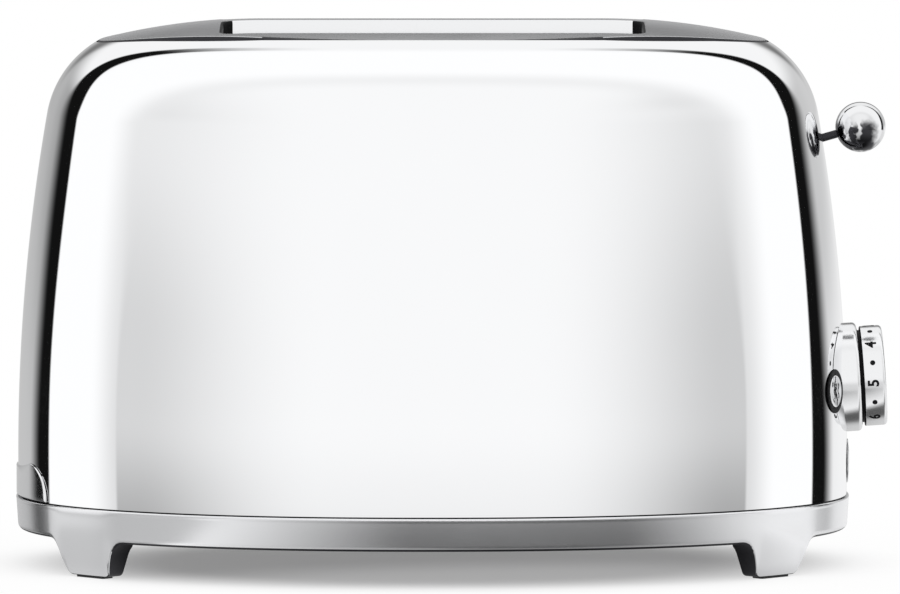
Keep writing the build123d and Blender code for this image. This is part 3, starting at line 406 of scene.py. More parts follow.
spring_steel = finish("spring_steel", (0.5, 0.5, 0.52), 0.22, 1.0, 0.1, 0.4, 0.05, 0.05)
heat_ribbon = finish("heat_ribbon", (0.32, 0.27, 0.23), 0.5, 0.9, 0.2, 0.5, 0.08, 0.15)
brass = finish("brass", (0.72, 0.55, 0.26), 0.25, 1.0, 0.1, 0.5, 0.05, 0.08)
print("metals:", len(bpy.data.materials) - 1)

# %% Plastics, boards and ink
# black pieces reflect very little here, because the photograph shows them truly black
black_plastic = finish("black_plastic", (0.012, 0.012, 0.013), 0.38, 0.0, 0.2, 0.35, 0.05, 0.2,
                       Specular_IOR_Level=0.05)
ink = finish("ink", (0.01, 0.01, 0.011), 0.4, 0.0, 0.0, 0.4, 0.05, 0.2, Specular_IOR_Level=0.05)
grey_plastic = finish("grey_plastic", (0.05, 0.05, 0.055), 0.5, 0.0, 0.3, 0.5, 0.06, 0.15)
rubber = finish("rubber", (0.018, 0.018, 0.019), 0.75, 0.0, 0.4, 0.4, 0.08, 0.2)
mica = finish("mica", (0.55, 0.48, 0.37), 0.42, 0.0, 0.2, 2.5, 0.1, 0.25)
copper_coil = finish("copper_coil", (0.42, 0.15, 0.05), 0.3, 0.0, 0.5, 0.6, 0.05, 0.2)
board_green = finish("board_green", (0.03, 0.12, 0.05), 0.35, 0.0, 0.1, 1.0, 0.05, 0.2)
ceramic = finish("ceramic", (0.74, 0.72, 0.66), 0.45, 0.0, 0.2, 0.8, 0.05, 0.05)
print("all finishes:", len(bpy.data.materials) - 1)

# %% [markdown]
# ## From numbers to a mesh
# Most of the dressed pieces are rows of points with quads between them, as a loft is. Close
# points are then merged and all faces turned outwards, so that pieces can be put together
# from parts that share their edges. Shading is smooth up to an angle between faces.


# %% Mesh helpers
def grid_faces(rows, columns, closed_rows=False, first=0):
    """Quads between the rows of a grid whose columns run all the way round."""
    faces = []
    for row in range(rows if closed_rows else rows - 1):
        here, above = first + row * columns, first + (row + 1) % rows * columns
        for column in range(columns):
            after = (column + 1) % columns
            faces.append((here + column, here + after, above + after, above + column))
    return faces


def make_piece(name, points, faces, material, smooth_angle=35.0):
    """A mesh object from points in millimetres, shaded smooth up to an angle between faces."""
    mesh = bpy.data.meshes.new(name)
    mesh.from_pydata((np.asarray(points, float) * MM).tolist(), [], faces)
    mesh.validate()
    bm = bmesh.new()
    bm.from_mesh(mesh)
    bmesh.ops.remove_doubles(bm, verts=bm.verts, dist=1e-6)
    bmesh.ops.recalc_face_normals(bm, faces=bm.faces)
    bm.to_mesh(mesh)
    bm.free()
    mesh.materials.append(material)
    mesh.shade_smooth()
    mesh.set_sharp_from_angle(angle=radians(smooth_angle))
    piece = bpy.data.objects.new(name, mesh)
    bpy.context.scene.collection.objects.link(piece)
    return piece


print("mesh helpers ready: 1 mm is", MM, "Blender units")

# %% [markdown]
# ## The body's formula
# The real body is one drawn sleeve that curves both ways. A box with rounded corners would
# not do: seen from above it is a squared oval, drawn in along a long arc towards the top and
# then over a round shoulder. One formula gives a point's inset from its height, and so also
# the exact direction in which the surface faces. A mirror shows every facet, so it is that
# direction, and not the faces', that the mirror is shaded by.

# %% The body's formula
body_half_length, body_half_depth, plan_exponent = 152.6, 97.1, 2.2
bulge_radius, widest_height = 729.0, 40.0
shoulder_radius, shoulder_height = 38.0, 159.5
shell_wall, shell_floor = 1.0, 26.0
opening_half_length, opening_half_depth = 123.5, 60.0
shoulder_rise, inner_radius = shoulder_height - widest_height, bulge_radius - shoulder_radius
shoulder_inset = bulge_radius - sqrt(inner_radius**2 - shoulder_rise**2)
shoulder_start = asin(shoulder_rise / inner_radius)
print("the shoulder starts", round(shoulder_inset, 1), "mm inside the widest line")


# %% Insets, ovals and normals
def wall_inset(height, skin=0.0):
    """How far the wall lies inside its widest line, on the bulge and over the shoulder."""
    height = np.asarray(height, float)
    reach = shoulder_radius - skin
    turnover = shoulder_height + reach * sin(shoulder_start)
    bulge = bulge_radius - np.sqrt((bulge_radius - skin) ** 2 - (height - widest_height) ** 2)
    rise = np.clip(height - shoulder_height, 0, reach * 0.9999)
    return np.where(height < turnover, bulge, shoulder_inset - np.sqrt(reach**2 - rise**2))


def inset_slope(height):
    """How fast the inset grows with height."""
    step = 0.005
    return (wall_inset(height + step) - wall_inset(height - step)) / (2 * step)


def oval_share(turns):
    """Unit squared oval at angles: its X and Y."""
    along, across = np.cos(turns), np.sin(turns)
    reach = (np.abs(along) ** plan_exponent + np.abs(across) ** plan_exponent) ** (-1 / plan_exponent)
    return along * reach, across * reach


def body_facing(points, skin=0.0):
    """The outward normal of the body's formula at points near its surface."""
    x, y, z = points.T
    inset = wall_inset(z, skin)
    length, depth = body_half_length - inset, body_half_depth - inset
    power = plan_exponent - 1
    along = np.sign(x) * np.abs(x / length) ** power / length
    across = np.sign(y) * np.abs(y / depth) ** power / depth
    rise = np.abs(x / length) ** plan_exponent / length + np.abs(y / depth) ** plan_exponent / depth
    facing = np.stack([along, across, rise * inset_slope(z)], axis=1)
    return facing / np.linalg.norm(facing, axis=1)[:, None]


def off_surface(points, skin=0.0):
    """How far points lie from the body's surface, roughly, in millimetres."""
    x, y, z = points.T
    inset = wall_inset(z, skin)
    length, depth = body_half_length - inset, body_half_depth - inset
    reach = np.abs(x / length) ** plan_exponent + np.abs(y / depth) ** plan_exponent
    return (reach ** (1 / plan_exponent) - 1) * depth


print("at a height of 150 mm the wall is", round(float(wall_inset(150.0)), 1), "mm further in")

# %% [markdown]
# ## The mirror shell
# The sleeve is about 1 mm thick. Columns run from its lower edge up the wall and over the
# shoulder to the rim round the top panel, then back down inside, so the sheet is closed and
# its thickness is real. A solidify modifier could thicken one surface, but would guess its
# own normals. Where the rim lies is found by halving: seen from above, it is the oval of the
# opening, and each column meets it at its own angle over the shoulder.

# %% Shell surface
shell_columns = 512
wall_rows, shoulder_rows = 40, 44
turns = np.arange(shell_columns) * 2 * pi / shell_columns
share_x, share_y = oval_share(turns)


def rim_angle(reach):
    """The angle over the shoulder at which each column meets the top opening."""
    low, high = np.zeros(shell_columns), np.full(shell_columns, radians(89))
    for _ in range(40):
        middle = (low + high) / 2
        inset = shoulder_inset - reach * np.cos(middle)
        size = np.abs((body_half_length - inset) * share_x / opening_half_length) ** plan_exponent
        size += np.abs((body_half_depth - inset) * share_y / opening_half_depth) ** plan_exponent
        low, high = np.where(size > 1, middle, low), np.where(size > 1, high, middle)
    return (low + high) / 2


def shell_rows(skin):
    """Rows of points up one side of the sheet."""
    reach = shoulder_radius - skin
    turnover = shoulder_height + reach * sin(shoulder_start)
    rows = []
    for step in range(wall_rows):
        height = shell_floor + (turnover - shell_floor) * step / wall_rows
        inset = float(wall_inset(height, skin))
        rows.append(((body_half_length - inset) * share_x, (body_half_depth - inset) * share_y,
                     np.full(shell_columns, height)))
    end = rim_angle(reach)
    for step in range(shoulder_rows + 1):
        turn = shoulder_start + (end - shoulder_start) * step / shoulder_rows
        inset = shoulder_inset - reach * np.cos(turn)
        rows.append(((body_half_length - inset) * share_x, (body_half_depth - inset) * share_y,
                     shoulder_height + reach * np.sin(turn)))
    return [np.stack(row, axis=1) for row in rows]


outside, inside = shell_rows(0.0), shell_rows(shell_wall)
shell_points = np.concatenate(outside + inside[::-1])
shell_faces = grid_faces(len(outside) + len(inside), shell_columns, closed_rows=True)
shell = make_piece("mirror_shell", shell_points, shell_faces, mirror_steel)
rim_heights = outside[-1][:, 2]
print("rim height from", round(float(rim_heights.min()), 2), "to", round(float(rim_heights.max()), 2), "mm")

# %% [markdown]
# ### Places on the lever end
# The dial and the three buttons sit square to the body's surface. Their planes come from the
# same formula: a point on the wall, and the direction in which the wall faces there.


# %% Planes on the lever end
def end_plane(across, height):
    """(origin, sideways, upwards, facing) on the lever end of the body, in millimetres."""
    inset = float(wall_inset(height))
    share = 1 - abs(across / (body_half_depth - inset)) ** plan_exponent
    point = np.array([[(body_half_length - inset) * share ** (1 / plan_exponent), across, height]])
    facing = Vector(body_facing(point)[0])
    sideways = Vector((0, 0, 1)).cross(facing).normalized()
    return Vector(point[0]), sideways, facing.cross(sideways), facing


dial_height, dial_tilt = 68.4, radians(3.7)
dial_x = body_half_length - float(wall_inset(dial_height))
to_rear = Vector((0, 1, 0))
dial_facing = Vector((cos(dial_tilt), 0, sin(dial_tilt)))
dial_plane = (Vector((dial_x, 0, dial_height)), to_rear, dial_facing.cross(to_rear), dial_facing)
button_planes = {
    "defrost": end_plane(-29.4, 65.7),
    "reheat": end_plane(29.4, 65.7),
    "bagel": end_plane(0.0, 37.6),
}
print("dial at", [round(value, 2) for value in dial_plane[0]])

# %% [markdown]
# ### Holes
# The shell is pierced for the dial's bezel, the three buttons and the lever, and at the other
# end for the crumb tray. Each hole is a closed prism on its own plane. They are joined into
# one cutter, so that the shell is cut once, by an exact boolean.


# %% Cutting shapes
cutter_points, cutter_faces = [], []


def prism(outline, sweep):
    """Keeps a closed prism from a loop of points and the vector to its far end, in millimetres."""
    count, offset = len(outline), len(cutter_points)
    cutter_points.extend(tuple(point) for point in outline)
    cutter_points.extend(tuple(point + sweep) for point in outline)
    faces = []
    for index in range(count):
        after = (index + 1) % count
        faces.append([after, index, index + count, after + count])
    faces += [list(range(count)), list(range(2 * count - 1, count - 1, -1))]
    cutter_faces.extend([index + offset for index in face] for face in faces)


def ring(plane, radius, height, segments=72):
    """A circle of points on a plane raised by a height."""
    origin, across, up, facing = plane
    spins = [2 * pi * step / segments for step in range(segments)]
    return [origin + facing * height + (across * cos(spin) + up * sin(spin)) * radius for spin in spins]


print("a ring has", len(ring(dial_plane, 1.0, 0.0)), "points")

# %% Holes in the shell
bezel_radius, housing_radius = 20.05, 7.2
lever_slot_low, lever_slot_high, lever_slot_width = 119.0, 160.2, 5.0
gate_half_width, gate_low, gate_top = 40.4, 20.0, 36.3
prism(ring(dial_plane, bezel_radius, -9), dial_plane[3] * 18)
for plane in button_planes.values():
    prism(ring(plane, housing_radius, -6), plane[3] * 12)
half = lever_slot_width / 2
slot_loop = []
slot_ends = ((lever_slot_high - half, range(0, 181, 10)), (lever_slot_low + half, range(180, 361, 10)))
for middle, spins in slot_ends:
    for spin in spins:
        slot_loop.append(Vector((130, half * cos(radians(spin)), middle + half * sin(radians(spin)))))
prism(slot_loop, Vector((30, 0, 0)))
gate_corners = ((-1, gate_low), (1, gate_low), (1, gate_top), (-1, gate_top))
gate = [Vector((-165, side * gate_half_width, height)) for side, height in gate_corners]
prism(gate, Vector((45, 0, 0)))
cutter_mesh = make_piece("cutter", cutter_points, cutter_faces, mirror_steel)
cut = shell.modifiers.new("holes", "BOOLEAN")
cut.object = cutter_mesh
cut.solver = "EXACT"
bpy.context.view_layer.update()
evaluated = shell.evaluated_get(bpy.context.evaluated_depsgraph_get())
drilled = bpy.data.meshes.new_from_object(evaluated)
shell.modifiers.clear()
shell.data = drilled
bpy.data.objects.remove(cutter_mesh)
print("the drilled shell has", len(drilled.polygons), "faces")

# %% [markdown]
# ### Tying a piece to the CAD
# A dressed piece moves with a body of the CAD and takes the place of the nodes that it stands
# for: it is parented to an empty for that body, and those nodes are hidden.


# %% Tying a piece to the CAD
def settle(piece, body, slot, *nodes):
    """Ties a piece to its body and hides the CAD nodes that it stands for. The slot is not used."""
    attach(piece, body)
    if nodes:
        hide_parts(*nodes)
    print(piece.name, "has", len(piece.data.polygons), "faces")


# %% [markdown]
# ### Mirror normals
# Cutting the holes leaves long thin faces, which would show as creases in a mirror. So each
# corner of a face on the outer or inner surface is given the formula's own normal. Faces in
# the thickness of the sheet keep their flat ones.


# %% Normals from the formula
on_surface, nearly_parallel = 0.08, 0.9


def formula_normals(mesh):
    """Sets each face corner's normal to the body formula's where the face lies on it."""
    points = np.empty(len(mesh.vertices) * 3)
    mesh.vertices.foreach_get("co", points)
    points = points.reshape(-1, 3) / MM
    corners = np.empty(len(mesh.loops), int)
    mesh.loops.foreach_get("vertex_index", corners)
    outer = np.abs(off_surface(points)) < on_surface
    inner = np.abs(off_surface(points, shell_wall)) < on_surface
    facing_out, facing_in = body_facing(points), -body_facing(points, shell_wall)
    normals = np.zeros((len(corners), 3))
    for face in mesh.polygons:
        loops = slice(face.loop_start, face.loop_start + face.loop_total)
        used = corners[loops]
        flat = np.array(face.normal)
        if outer[used].all() and facing_out[used].mean(0) @ flat > nearly_parallel:
            normals[loops] = facing_out[used]
        elif inner[used].all() and facing_in[used].mean(0) @ flat > nearly_parallel:
            normals[loops] = facing_in[used]
        else:
            normals[loops] = flat
    mesh.normals_split_custom_set(normals.tolist())


for face in drilled.polygons:
    face.use_smooth = True
formula_normals(drilled)
settle(shell, "body", "mirror_steel", "outer_shell")

# %% [markdown]
# ## The top panel
# A satin pressing fills the oval opening. It is crowned: level along the middle, falling to
# both ends and gently to front and back. Round each bread slot the sheet turns down over a
# small lip into a collar, and the outer edge turns down in the same way. Booleans would cut
# the slots but not turn their edges, so the flat of the panel is triangulated between its
# outlines, with a grid of points that lets it follow the crown.

# %% Panel outlines
crown_height, crown_flat_half, crown_end_radius, crown_cross_radius = 200.45, 62.0, 245.0, 340.0
panel_gap, panel_sheet = 0.3, 1.2
slot_half_length, slot_half_width, slot_corner, slot_centre = 76.5, 18.0, 4.0, 25.0
long_side, short_side = 60, 12


def crown(x, y):
    """Height of the crowned panel."""
    past = np.maximum(np.abs(x) - crown_flat_half, 0)
    fall = crown_end_radius - np.sqrt(crown_end_radius**2 - past**2)
    return crown_height - fall - (crown_cross_radius - np.sqrt(crown_cross_radius**2 - y**2))


def panel_oval(margin, count=512):
    """The panel's outline, smaller all round by a margin."""
    x, y = oval_share(np.arange(count) * 2 * pi / count)
    length = opening_half_length - panel_gap - margin
    depth = opening_half_depth - panel_gap - margin
    return np.stack([length * x, depth * y], axis=1)


def slot_ring(centre, margin):
    """One slot's rounded outline, larger all round by a margin, always with as many points."""
    length, width, corner = slot_half_length + margin, slot_half_width + margin, slot_corner + margin
    arcs = []
    for quarter, (side_x, side_y) in enumerate(((1, 1), (-1, 1), (-1, -1), (1, -1))):
        spins = [radians(90 * quarter + 90 * step / 8) for step in range(9)]
        middle = (side_x * (length - corner), centre + side_y * (width - corner))
        arcs.append([(middle[0] + corner * cos(spin), middle[1] + corner * sin(spin)) for spin in spins])
    points = []
    for arc, following, count in zip(arcs, arcs[1:] + arcs[:1], (long_side, short_side) * 2):
        start, end = np.array(arc[-1]), np.array(following[0])
        points += arc + [tuple(start + (end - start) * step / count) for step in range(1, count)]
    return np.array(points)


print("a slot's outline has", len(slot_ring(slot_centre, 0)), "points and the panel's", len(panel_oval(0)))


# %% Inside or outside
def inside_oval(points, margin):
    """Which points lie inside the panel's outline, drawn in by a margin."""
    length, depth = opening_half_length - panel_gap - margin, opening_half_depth - panel_gap - margin
    along, across = np.abs(points[:, 0]) / length, np.abs(points[:, 1]) / depth
    return along**plan_exponent + across**plan_exponent < 1


def inside_slots(points, margin):
    """Which points lie inside a slot's outline, grown by a margin."""
    x, y = np.abs(points[:, 0]), np.abs(np.abs(points[:, 1]) - slot_centre)
    over_x = np.maximum(x - (slot_half_length - slot_corner), 0)
    over_y = np.maximum(y - (slot_half_width - slot_corner), 0)
    return np.hypot(over_x, over_y) < slot_corner + margin


print("the middle of the panel is inside its outline:", bool(inside_oval(np.zeros((1, 2)), 0)[0]))


# %% Filling between outlines
def fill_outline(loops, spacing, keep, solid):
    """Triangles that fill closed loops of flat points, with a grid of points between them."""
    span = np.concatenate(loops)
    low, high = span.min(0), span.max(0)
    grid_x, grid_y = np.meshgrid(np.arange(low[0], high[0], spacing), np.arange(low[1], high[1], spacing))
    inner = np.stack([grid_x.ravel(), grid_y.ravel()], axis=1)
    points = np.concatenate([*loops, inner[keep(inner)]])
    edges, start = [], 0
    for loop in loops:
        edges += [(start + index, start + (index + 1) % len(loop)) for index in range(len(loop))]
        start += len(loop)
    flat, _, faces, _, _, _ = delaunay_2d_cdt([Vector(point) for point in points], edges, [], 0, 1e-5)
    flat, faces = np.array([tuple(point) for point in flat]), np.array(faces)
    return flat, faces[solid(flat[faces].mean(axis=1))]


print("outlines are filled by a constrained triangulation")

# %% The flat of the panel
slots = (-slot_centre, slot_centre)
lip_radius, seam_margin, grid_step, grid_clearance = 1.4, 2.3, 3.0, 1.2


def room_for_grid(points):
    """Which points of the grid stand clear of every outline."""
    clear_of_seam = inside_oval(points, seam_margin + grid_clearance)
    return clear_of_seam & ~inside_slots(points, lip_radius + grid_clearance)


def in_plate(points):
    """Which points lie in the flat of the panel, between its lips."""
    return inside_oval(points, lip_radius) & ~inside_slots(points, lip_radius)


panel_loops = [panel_oval(lip_radius), panel_oval(seam_margin)]
panel_loops += [slot_ring(centre, lip_radius) for centre in slots]
plate, triangles = fill_outline(panel_loops, grid_step, room_for_grid, in_plate)
top = np.column_stack([plate, crown(plate[:, 0], plate[:, 1])])
panel_points = [top, top - (0, 0, panel_sheet)]
panel_faces = triangles.tolist() + (triangles[:, ::-1] + len(top)).tolist()
print("the flat of the panel has", len(triangles), "triangles a side")

# %% [markdown]
# ### Lips and collars
# Each edge of the panel is swept from the same few rows: a quarter round, a straight wall
# down, the thickness of the sheet, and back up to the underside. The rows share their first
# and last points with the plate, so merging close points makes one closed sheet.

# %% Lips and collars
collar_depth, rim_depth, collar_sheet = 14.0, 6.0, 0.8


def turned_edge(outline_at, depth):
    """Rows that turn the sheet down over a lip. outline_at(margin) gives the loop at a margin."""
    quarter = [radians(turn) for turn in range(0, 91, 15)]
    rows = [(lip_radius * (1 - sin(turn)), lip_radius * (1 - cos(turn))) for turn in quarter]
    rows += [(0.0, depth), (collar_sheet, depth)]
    rows += [(collar_sheet, lip_radius + panel_sheet), (lip_radius, panel_sheet)]
    level = outline_at(lip_radius)
    height = crown(level[:, 0], level[:, 1])
    return [np.column_stack([outline_at(margin), height - drop]) for margin, drop in rows]


edges_of_panel = [turned_edge(panel_oval, rim_depth)]
for centre in slots:
    edges_of_panel.append(turned_edge(partial(slot_ring, centre), collar_depth))
for rows in edges_of_panel:
    first = sum(len(part) for part in panel_points)
    panel_faces += grid_faces(len(rows), len(rows[0]), first=first)
    panel_points += rows
panel = make_piece("panel", np.concatenate(panel_points), panel_faces, satin_steel, 40)
print("the panel has", len(panel.data.polygons), "faces")

# %% [markdown]
# ### Painted shade at the seam and slot ends
# The panel's edge is painted dark for the shadow in the gap round it, broad along its level
# middle and thin at its falling ends. The turned edges of the slots are bright pressed metal,
# and painted black round their ends for the shade deep in the slot.
# Splitting the mesh would open gaps, so faces are picked by where they lie and given
# another finish.


# %% A second finish
def second_finish(piece, material, chosen):
    """Gives another finish to the faces whose middle passes a test, in millimetres."""
    piece.data.materials.append(material)
    count = 0
    for face in piece.data.polygons:
        if chosen(Vector(face.center) / MM, face.normal):
            face.material_index = len(piece.data.materials) - 1
            count += 1
    print(piece.name, "has", count, "faces in", material.name)


print("the panel has", len(panel.data.materials), "finish so far")

# %% Painted shade at the seam and slot ends
broad_seam_shade, thin_seam_shade = seam_margin, 0.75
collar_reach, slot_end = 0.9, slot_half_length - 3.0


def seen_from_above(place):
    """A place as a list of one flat point."""
    return np.array([[place.x, place.y]])


def in_seam(place, facing):
    """True in the painted shade round the panel's edge, where its seam lies."""
    margin = broad_seam_shade if abs(place.x) < crown_flat_half else thin_seam_shade
    return not inside_oval(seen_from_above(place), margin)[0]


def in_collar(place, facing):
    """True on the turned edge of a slot."""
    return bool(inside_slots(seen_from_above(place), collar_reach)[0])


def at_slot_end(place, facing):
    """True on a turned edge round the end of a slot, which is painted black as shade."""
    return in_collar(place, facing) and abs(place.x) > slot_end


# painted shade: a dark band round the panel for the shadow in its seam, and black at the slot ends
second_finish(panel, dark_steel, in_seam)
second_finish(panel, pressed_steel, in_collar)
second_finish(panel, black_plastic, at_slot_end)
settle(panel, "body", "satin_steel", "top_panel")

# %% [markdown]
# ## The base skirt
# A cast band with a satin finish carries the body on four short legs. Legs made apart and
# pushed into the band would show a hard line, and the real ones are cast in one with it. So
# the band and the legs are one surface here: every column of points has the same section,
# but near a leg the lower edge drops to the floor pads, the round along that edge tightens
# and the inner face moves in. The lower edge follows an outline with rounded roots and toes.


# %% Rounded outlines
def round_corner(before, corner, after, radius, steps=5):
    """Points of an arc that rounds one corner of a flat outline."""
    corner, before, after = Vector(corner), Vector(before), Vector(after)
    one, two = (before - corner).normalized(), (after - corner).normalized()
    half = acos(max(-1.0, min(1.0, one.dot(two)))) / 2
    reach = radius / tan(half)
    centre = corner + (one + two).normalized() * (radius / sin(half))
    start, end = corner + one * reach - centre, corner + two * reach - centre
    sweep = pi - 2 * half
    points = []
    for step in range(steps + 1):
        share = step / steps
        points.append(centre + (start * sin((1 - share) * sweep) + end * sin(share * sweep)) / sin(sweep))
    return [tuple(point) for point in points]


def rounded(corners, closed=False):
    """An outline of (x, y, radius) corners as plain points, each corner rounded."""
    points = []
    count = len(corners)
    for index, (x, y, radius) in enumerate(corners):
        last = not closed and index in (0, count - 1)
        if radius <= 0 or last:
            points.append((x, y))
        else:
            before, after = corners[index - 1], corners[(index + 1) % count]
            points += round_corner(before[:2], (x, y), after[:2], radius)
    return points


print("rounding a square corner takes", len(round_corner((0, 1), (0, 0), (1, 0), 0.3)), "points")

# %% Skirt outline
skirt_half_length, skirt_half_depth = 153.4, 97.9
skirt_top, skirt_bottom = 26.0, 13.5
leg_station, leg_half_width, leg_flare, leg_bottom = 128.0, 10.0, 4.7, 0.7
toe_radius, root_radius = 2.5, 6.5


def skirt_point(turns):
    """Points of the skirt's top outline, and the directions in which it faces there."""
    x, y = oval_share(turns)
    facing = np.stack([np.sign(x) * np.abs(x) ** (plan_exponent - 1) / skirt_half_length,
                       np.sign(y) * np.abs(y) ** (plan_exponent - 1) / skirt_half_depth], axis=1)
    points = np.stack([skirt_half_length * x, skirt_half_depth * y], axis=1)
    return points, facing / np.linalg.norm(facing, axis=1)[:, None]


quarter_turns = np.linspace(0, pi / 2, 4001)
quarter_points, quarter_facing = skirt_point(quarter_turns)
at_leg = int(np.argmin(np.abs(quarter_points[:, 0] - leg_station)))
leg_middle, leg_facing = quarter_points[at_leg], quarter_facing[at_leg]
leg_tangent = np.array([-leg_facing[1], leg_facing[0]])
side_step = (quarter_points - leg_middle) @ leg_tangent
leg_outline = rounded([
    (0.0, leg_bottom, 0), (leg_half_width, leg_bottom, toe_radius),
    (leg_half_width + leg_flare, skirt_bottom, root_radius), (60.0, skirt_bottom, 0),
])
outline_steps = np.array([point[0] for point in leg_outline])
outline_heights = np.array([point[1] for point in leg_outline])
print("the leg stands at", leg_middle.round(1), "mm and its outline has", len(leg_outline), "points")

# %% Skirt columns
# closest on the leg's round corners, a few on its flank, and wide apart on the plain band
flank = np.linspace(outline_steps[6], outline_steps[7], 8)[1:-1]
near = np.concatenate([outline_steps[:-1], flank, np.linspace(1.5, 6.5, 4), np.arange(24, 44, 2.5)])
near = np.unique(np.concatenate([near, -near]))
near = near[(near > side_step.min() + 1) & (near < side_step.max() - 1)]
near_turns = np.interp(near, side_step, quarter_turns)
far_turns = np.linspace(near_turns[-1], pi / 2, 40)[1:]
low_turns = np.linspace(0, near_turns[0], 14)[:-1]
column_turns = np.concatenate([low_turns, near_turns, far_turns])
mirrored = pi - column_turns[::-1][1:]
half_turns = np.concatenate([column_turns, mirrored])
skirt_turns = np.concatenate([half_turns, half_turns[1:-1] + pi])
print("the skirt has", len(skirt_turns), "columns")

# %% How the section changes near a leg
straight_half_width, straight_fade = 28.0, 10.0
band_draft, leg_lean, lean_start, lean_reach = 0.064, 2.4, 19.5, 18.0


def ease(share):
    """A soft start and stop between 0 and 1."""
    share = np.clip(share, 0, 1)
    return share * share * (3 - 2 * share)


skirt_edge, skirt_facing = skirt_point(skirt_turns)
corner_signs = np.sign(skirt_edge + 1e-9)
from_leg = skirt_edge * corner_signs - leg_middle
along_leg = np.abs(from_leg @ leg_tangent)
lower_edge = np.interp(along_leg, outline_steps, outline_heights)
leg_share = (skirt_bottom - lower_edge) / (skirt_bottom - leg_bottom)
straight = ease((straight_half_width - along_leg) / straight_fade)[:, None]
inward = -(skirt_facing * (1 - straight) + leg_facing * corner_signs * straight)
inward /= np.linalg.norm(inward, axis=1)[:, None]


def outer_inset(height):
    """How far the outer face lies inside the top outline: draft, and more down a leg."""
    draft = band_draft * (skirt_top - height)
    return draft + leg_share * leg_lean * np.clip((lean_start - height) / lean_reach, 0, 1) ** 2


band_edge_round, leg_edge_round = 1.8, 0.6
leg_inner, ledge_inner = 11.0, 9.0
edge_round = band_edge_round + (leg_edge_round - band_edge_round) * ease(leg_share / 0.25)
inner_face = ledge_inner + (leg_inner - ledge_inner) * ease(leg_share / 0.15)
print("columns on a leg:", int((leg_share > 0.99).sum()))

# %% Skirt section
ledge_top, skirt_wall, seam_height = 16.5, 3.0, 0.45
lip_outer, lip_inner, lip_low, lip_high = 2.25, 3.45, 24.0, 28.0
level = np.ones(len(skirt_turns))
band_top, top_round = skirt_top - seam_height, 0.6
section = [(lip_outer * level, lip_high * level), (lip_outer * level, band_top * level)]
for turn in range(0, 91, 15):
    section.append((top_round * (1 - sin(radians(turn))) * level,
                    (band_top - top_round + top_round * cos(radians(turn))) * level))
wall_steps = 15
for step in range(1, wall_steps):
    height = band_top - top_round + (lower_edge + edge_round - band_top + top_round) * step / wall_steps
    section.append((outer_inset(height), height))
start_inset = outer_inset(lower_edge + edge_round)
for turn in range(0, 91, 15):
    section.append((start_inset + edge_round * (1 - cos(radians(turn))),
                    lower_edge + edge_round * (1 - sin(radians(turn)))))
section += [(inner_face, lower_edge), (inner_face, ledge_top * level)]
section += [(skirt_wall * level, ledge_top * level), (skirt_wall * level, lip_low * level)]
section += [(lip_inner * level, lip_low * level), (lip_inner * level, lip_high * level)]
skirt_rows = [np.column_stack([skirt_edge + inward * inset[:, None], height]) for inset, height in section]
skirt_faces = grid_faces(len(section), len(skirt_turns), closed_rows=True)
skirt = make_piece("skirt", np.concatenate(skirt_rows), skirt_faces, cast_satin, 32)
print("the skirt's section has", len(section), "points")

# %% Painted shade on the lip and the underside
shade_depth, faces_down = 5.2, -0.5


def above_band(place, facing):
    """True on the lip, painted black as the shade in the gap between the band and the shell."""
    return place.z > band_top + 0.01


def underneath(place, facing):
    """True on the underside, on the flanks of the legs and on faces turned down, behind the outer face,
    painted dark as shade.
    """
    x, y = abs(place.x), abs(place.y)
    reach = (x / skirt_half_length) ** plan_exponent + (y / skirt_half_depth) ** plan_exponent
    size = skirt_half_depth if x < y else skirt_half_length
    inset = (1 - reach ** (1 / plan_exponent)) * size
    return place.z < ledge_top and (inset > shade_depth or facing.z < faces_down)


# painted shade: the lip in the gap goes black, and the underside, leg flanks and faces turned down go dark
second_finish(skirt, black_plastic, above_band)
second_finish(skirt, dark_steel, underneath)
settle(skirt, "body", "cast_base", "base_skirt")

# %% [markdown]
# ## The lever
# A chrome ball sits on the end of a thin dark rod that comes up out of a slot in the shell.
# A sphere primitive would have no socket and would pinch its facets at the poles, where a
# mirror shows them. This ball is turned like on a lathe: a profile from the socket for the
# rod, over a small chamfer and round the ball, spun about the rod's own axis.


# %% The lathe
def lathe(name, profile, plane, material, segments=96, smooth_angle=35.0):
    """Turns a profile of (radius, height) round a plane's axis. The profile is closed on the axis."""
    origin, across, up, facing = plane
    points, faces = [], []
    rings = []
    for radius, height in profile:
        if radius < 1e-6:
            rings.append([len(points)])
            points.append(origin + facing * height)
            continue
        rings.append(list(range(len(points), len(points) + segments)))
        for step in range(segments):
            turn = 2 * pi * step / segments
            points.append(origin + (across * cos(turn) + up * sin(turn)) * radius + facing * height)
    for low, high in zip(rings, rings[1:]):
        for step in range(segments):
            after = (step + 1) % segments
            corners = [low[step % len(low)], low[after % len(low)]]
            corners += [high[after % len(high)], high[step % len(high)]]
            unique = list(dict.fromkeys(corners))
            if len(unique) > 2:
                faces.append(unique)
    return make_piece(name, [tuple(point) for point in points], faces, material, smooth_angle)


print("turned in 96 steps, a radius of 10 mm has flats of", round(2 * pi * 10 / 96, 2), "mm")

# %% Lever ball
ball_radius, ball_centre, rod_tilt = 9.25, Vector((157.3, 0, 160.7)), radians(16)
rod_facing = Vector((cos(rod_tilt), 0, sin(rod_tilt)))
rod_plane = (ball_centre, to_rear, rod_facing.cross(to_rear), rod_facing)
socket, socket_depth, chamfer = 1.55, 3.0, 0.5
start = asin((socket + chamfer) / ball_radius)
ball_profile = [(0.0, -socket_depth), (socket, -socket_depth), (socket, -ball_radius * cos(start) + 0.4)]
for step in range(65):
    turn = start + (pi - start) * step / 64
    ball_profile.append((ball_radius * sin(turn), -ball_radius * cos(turn)))
print("the ball's profile has", len(ball_profile), "points")
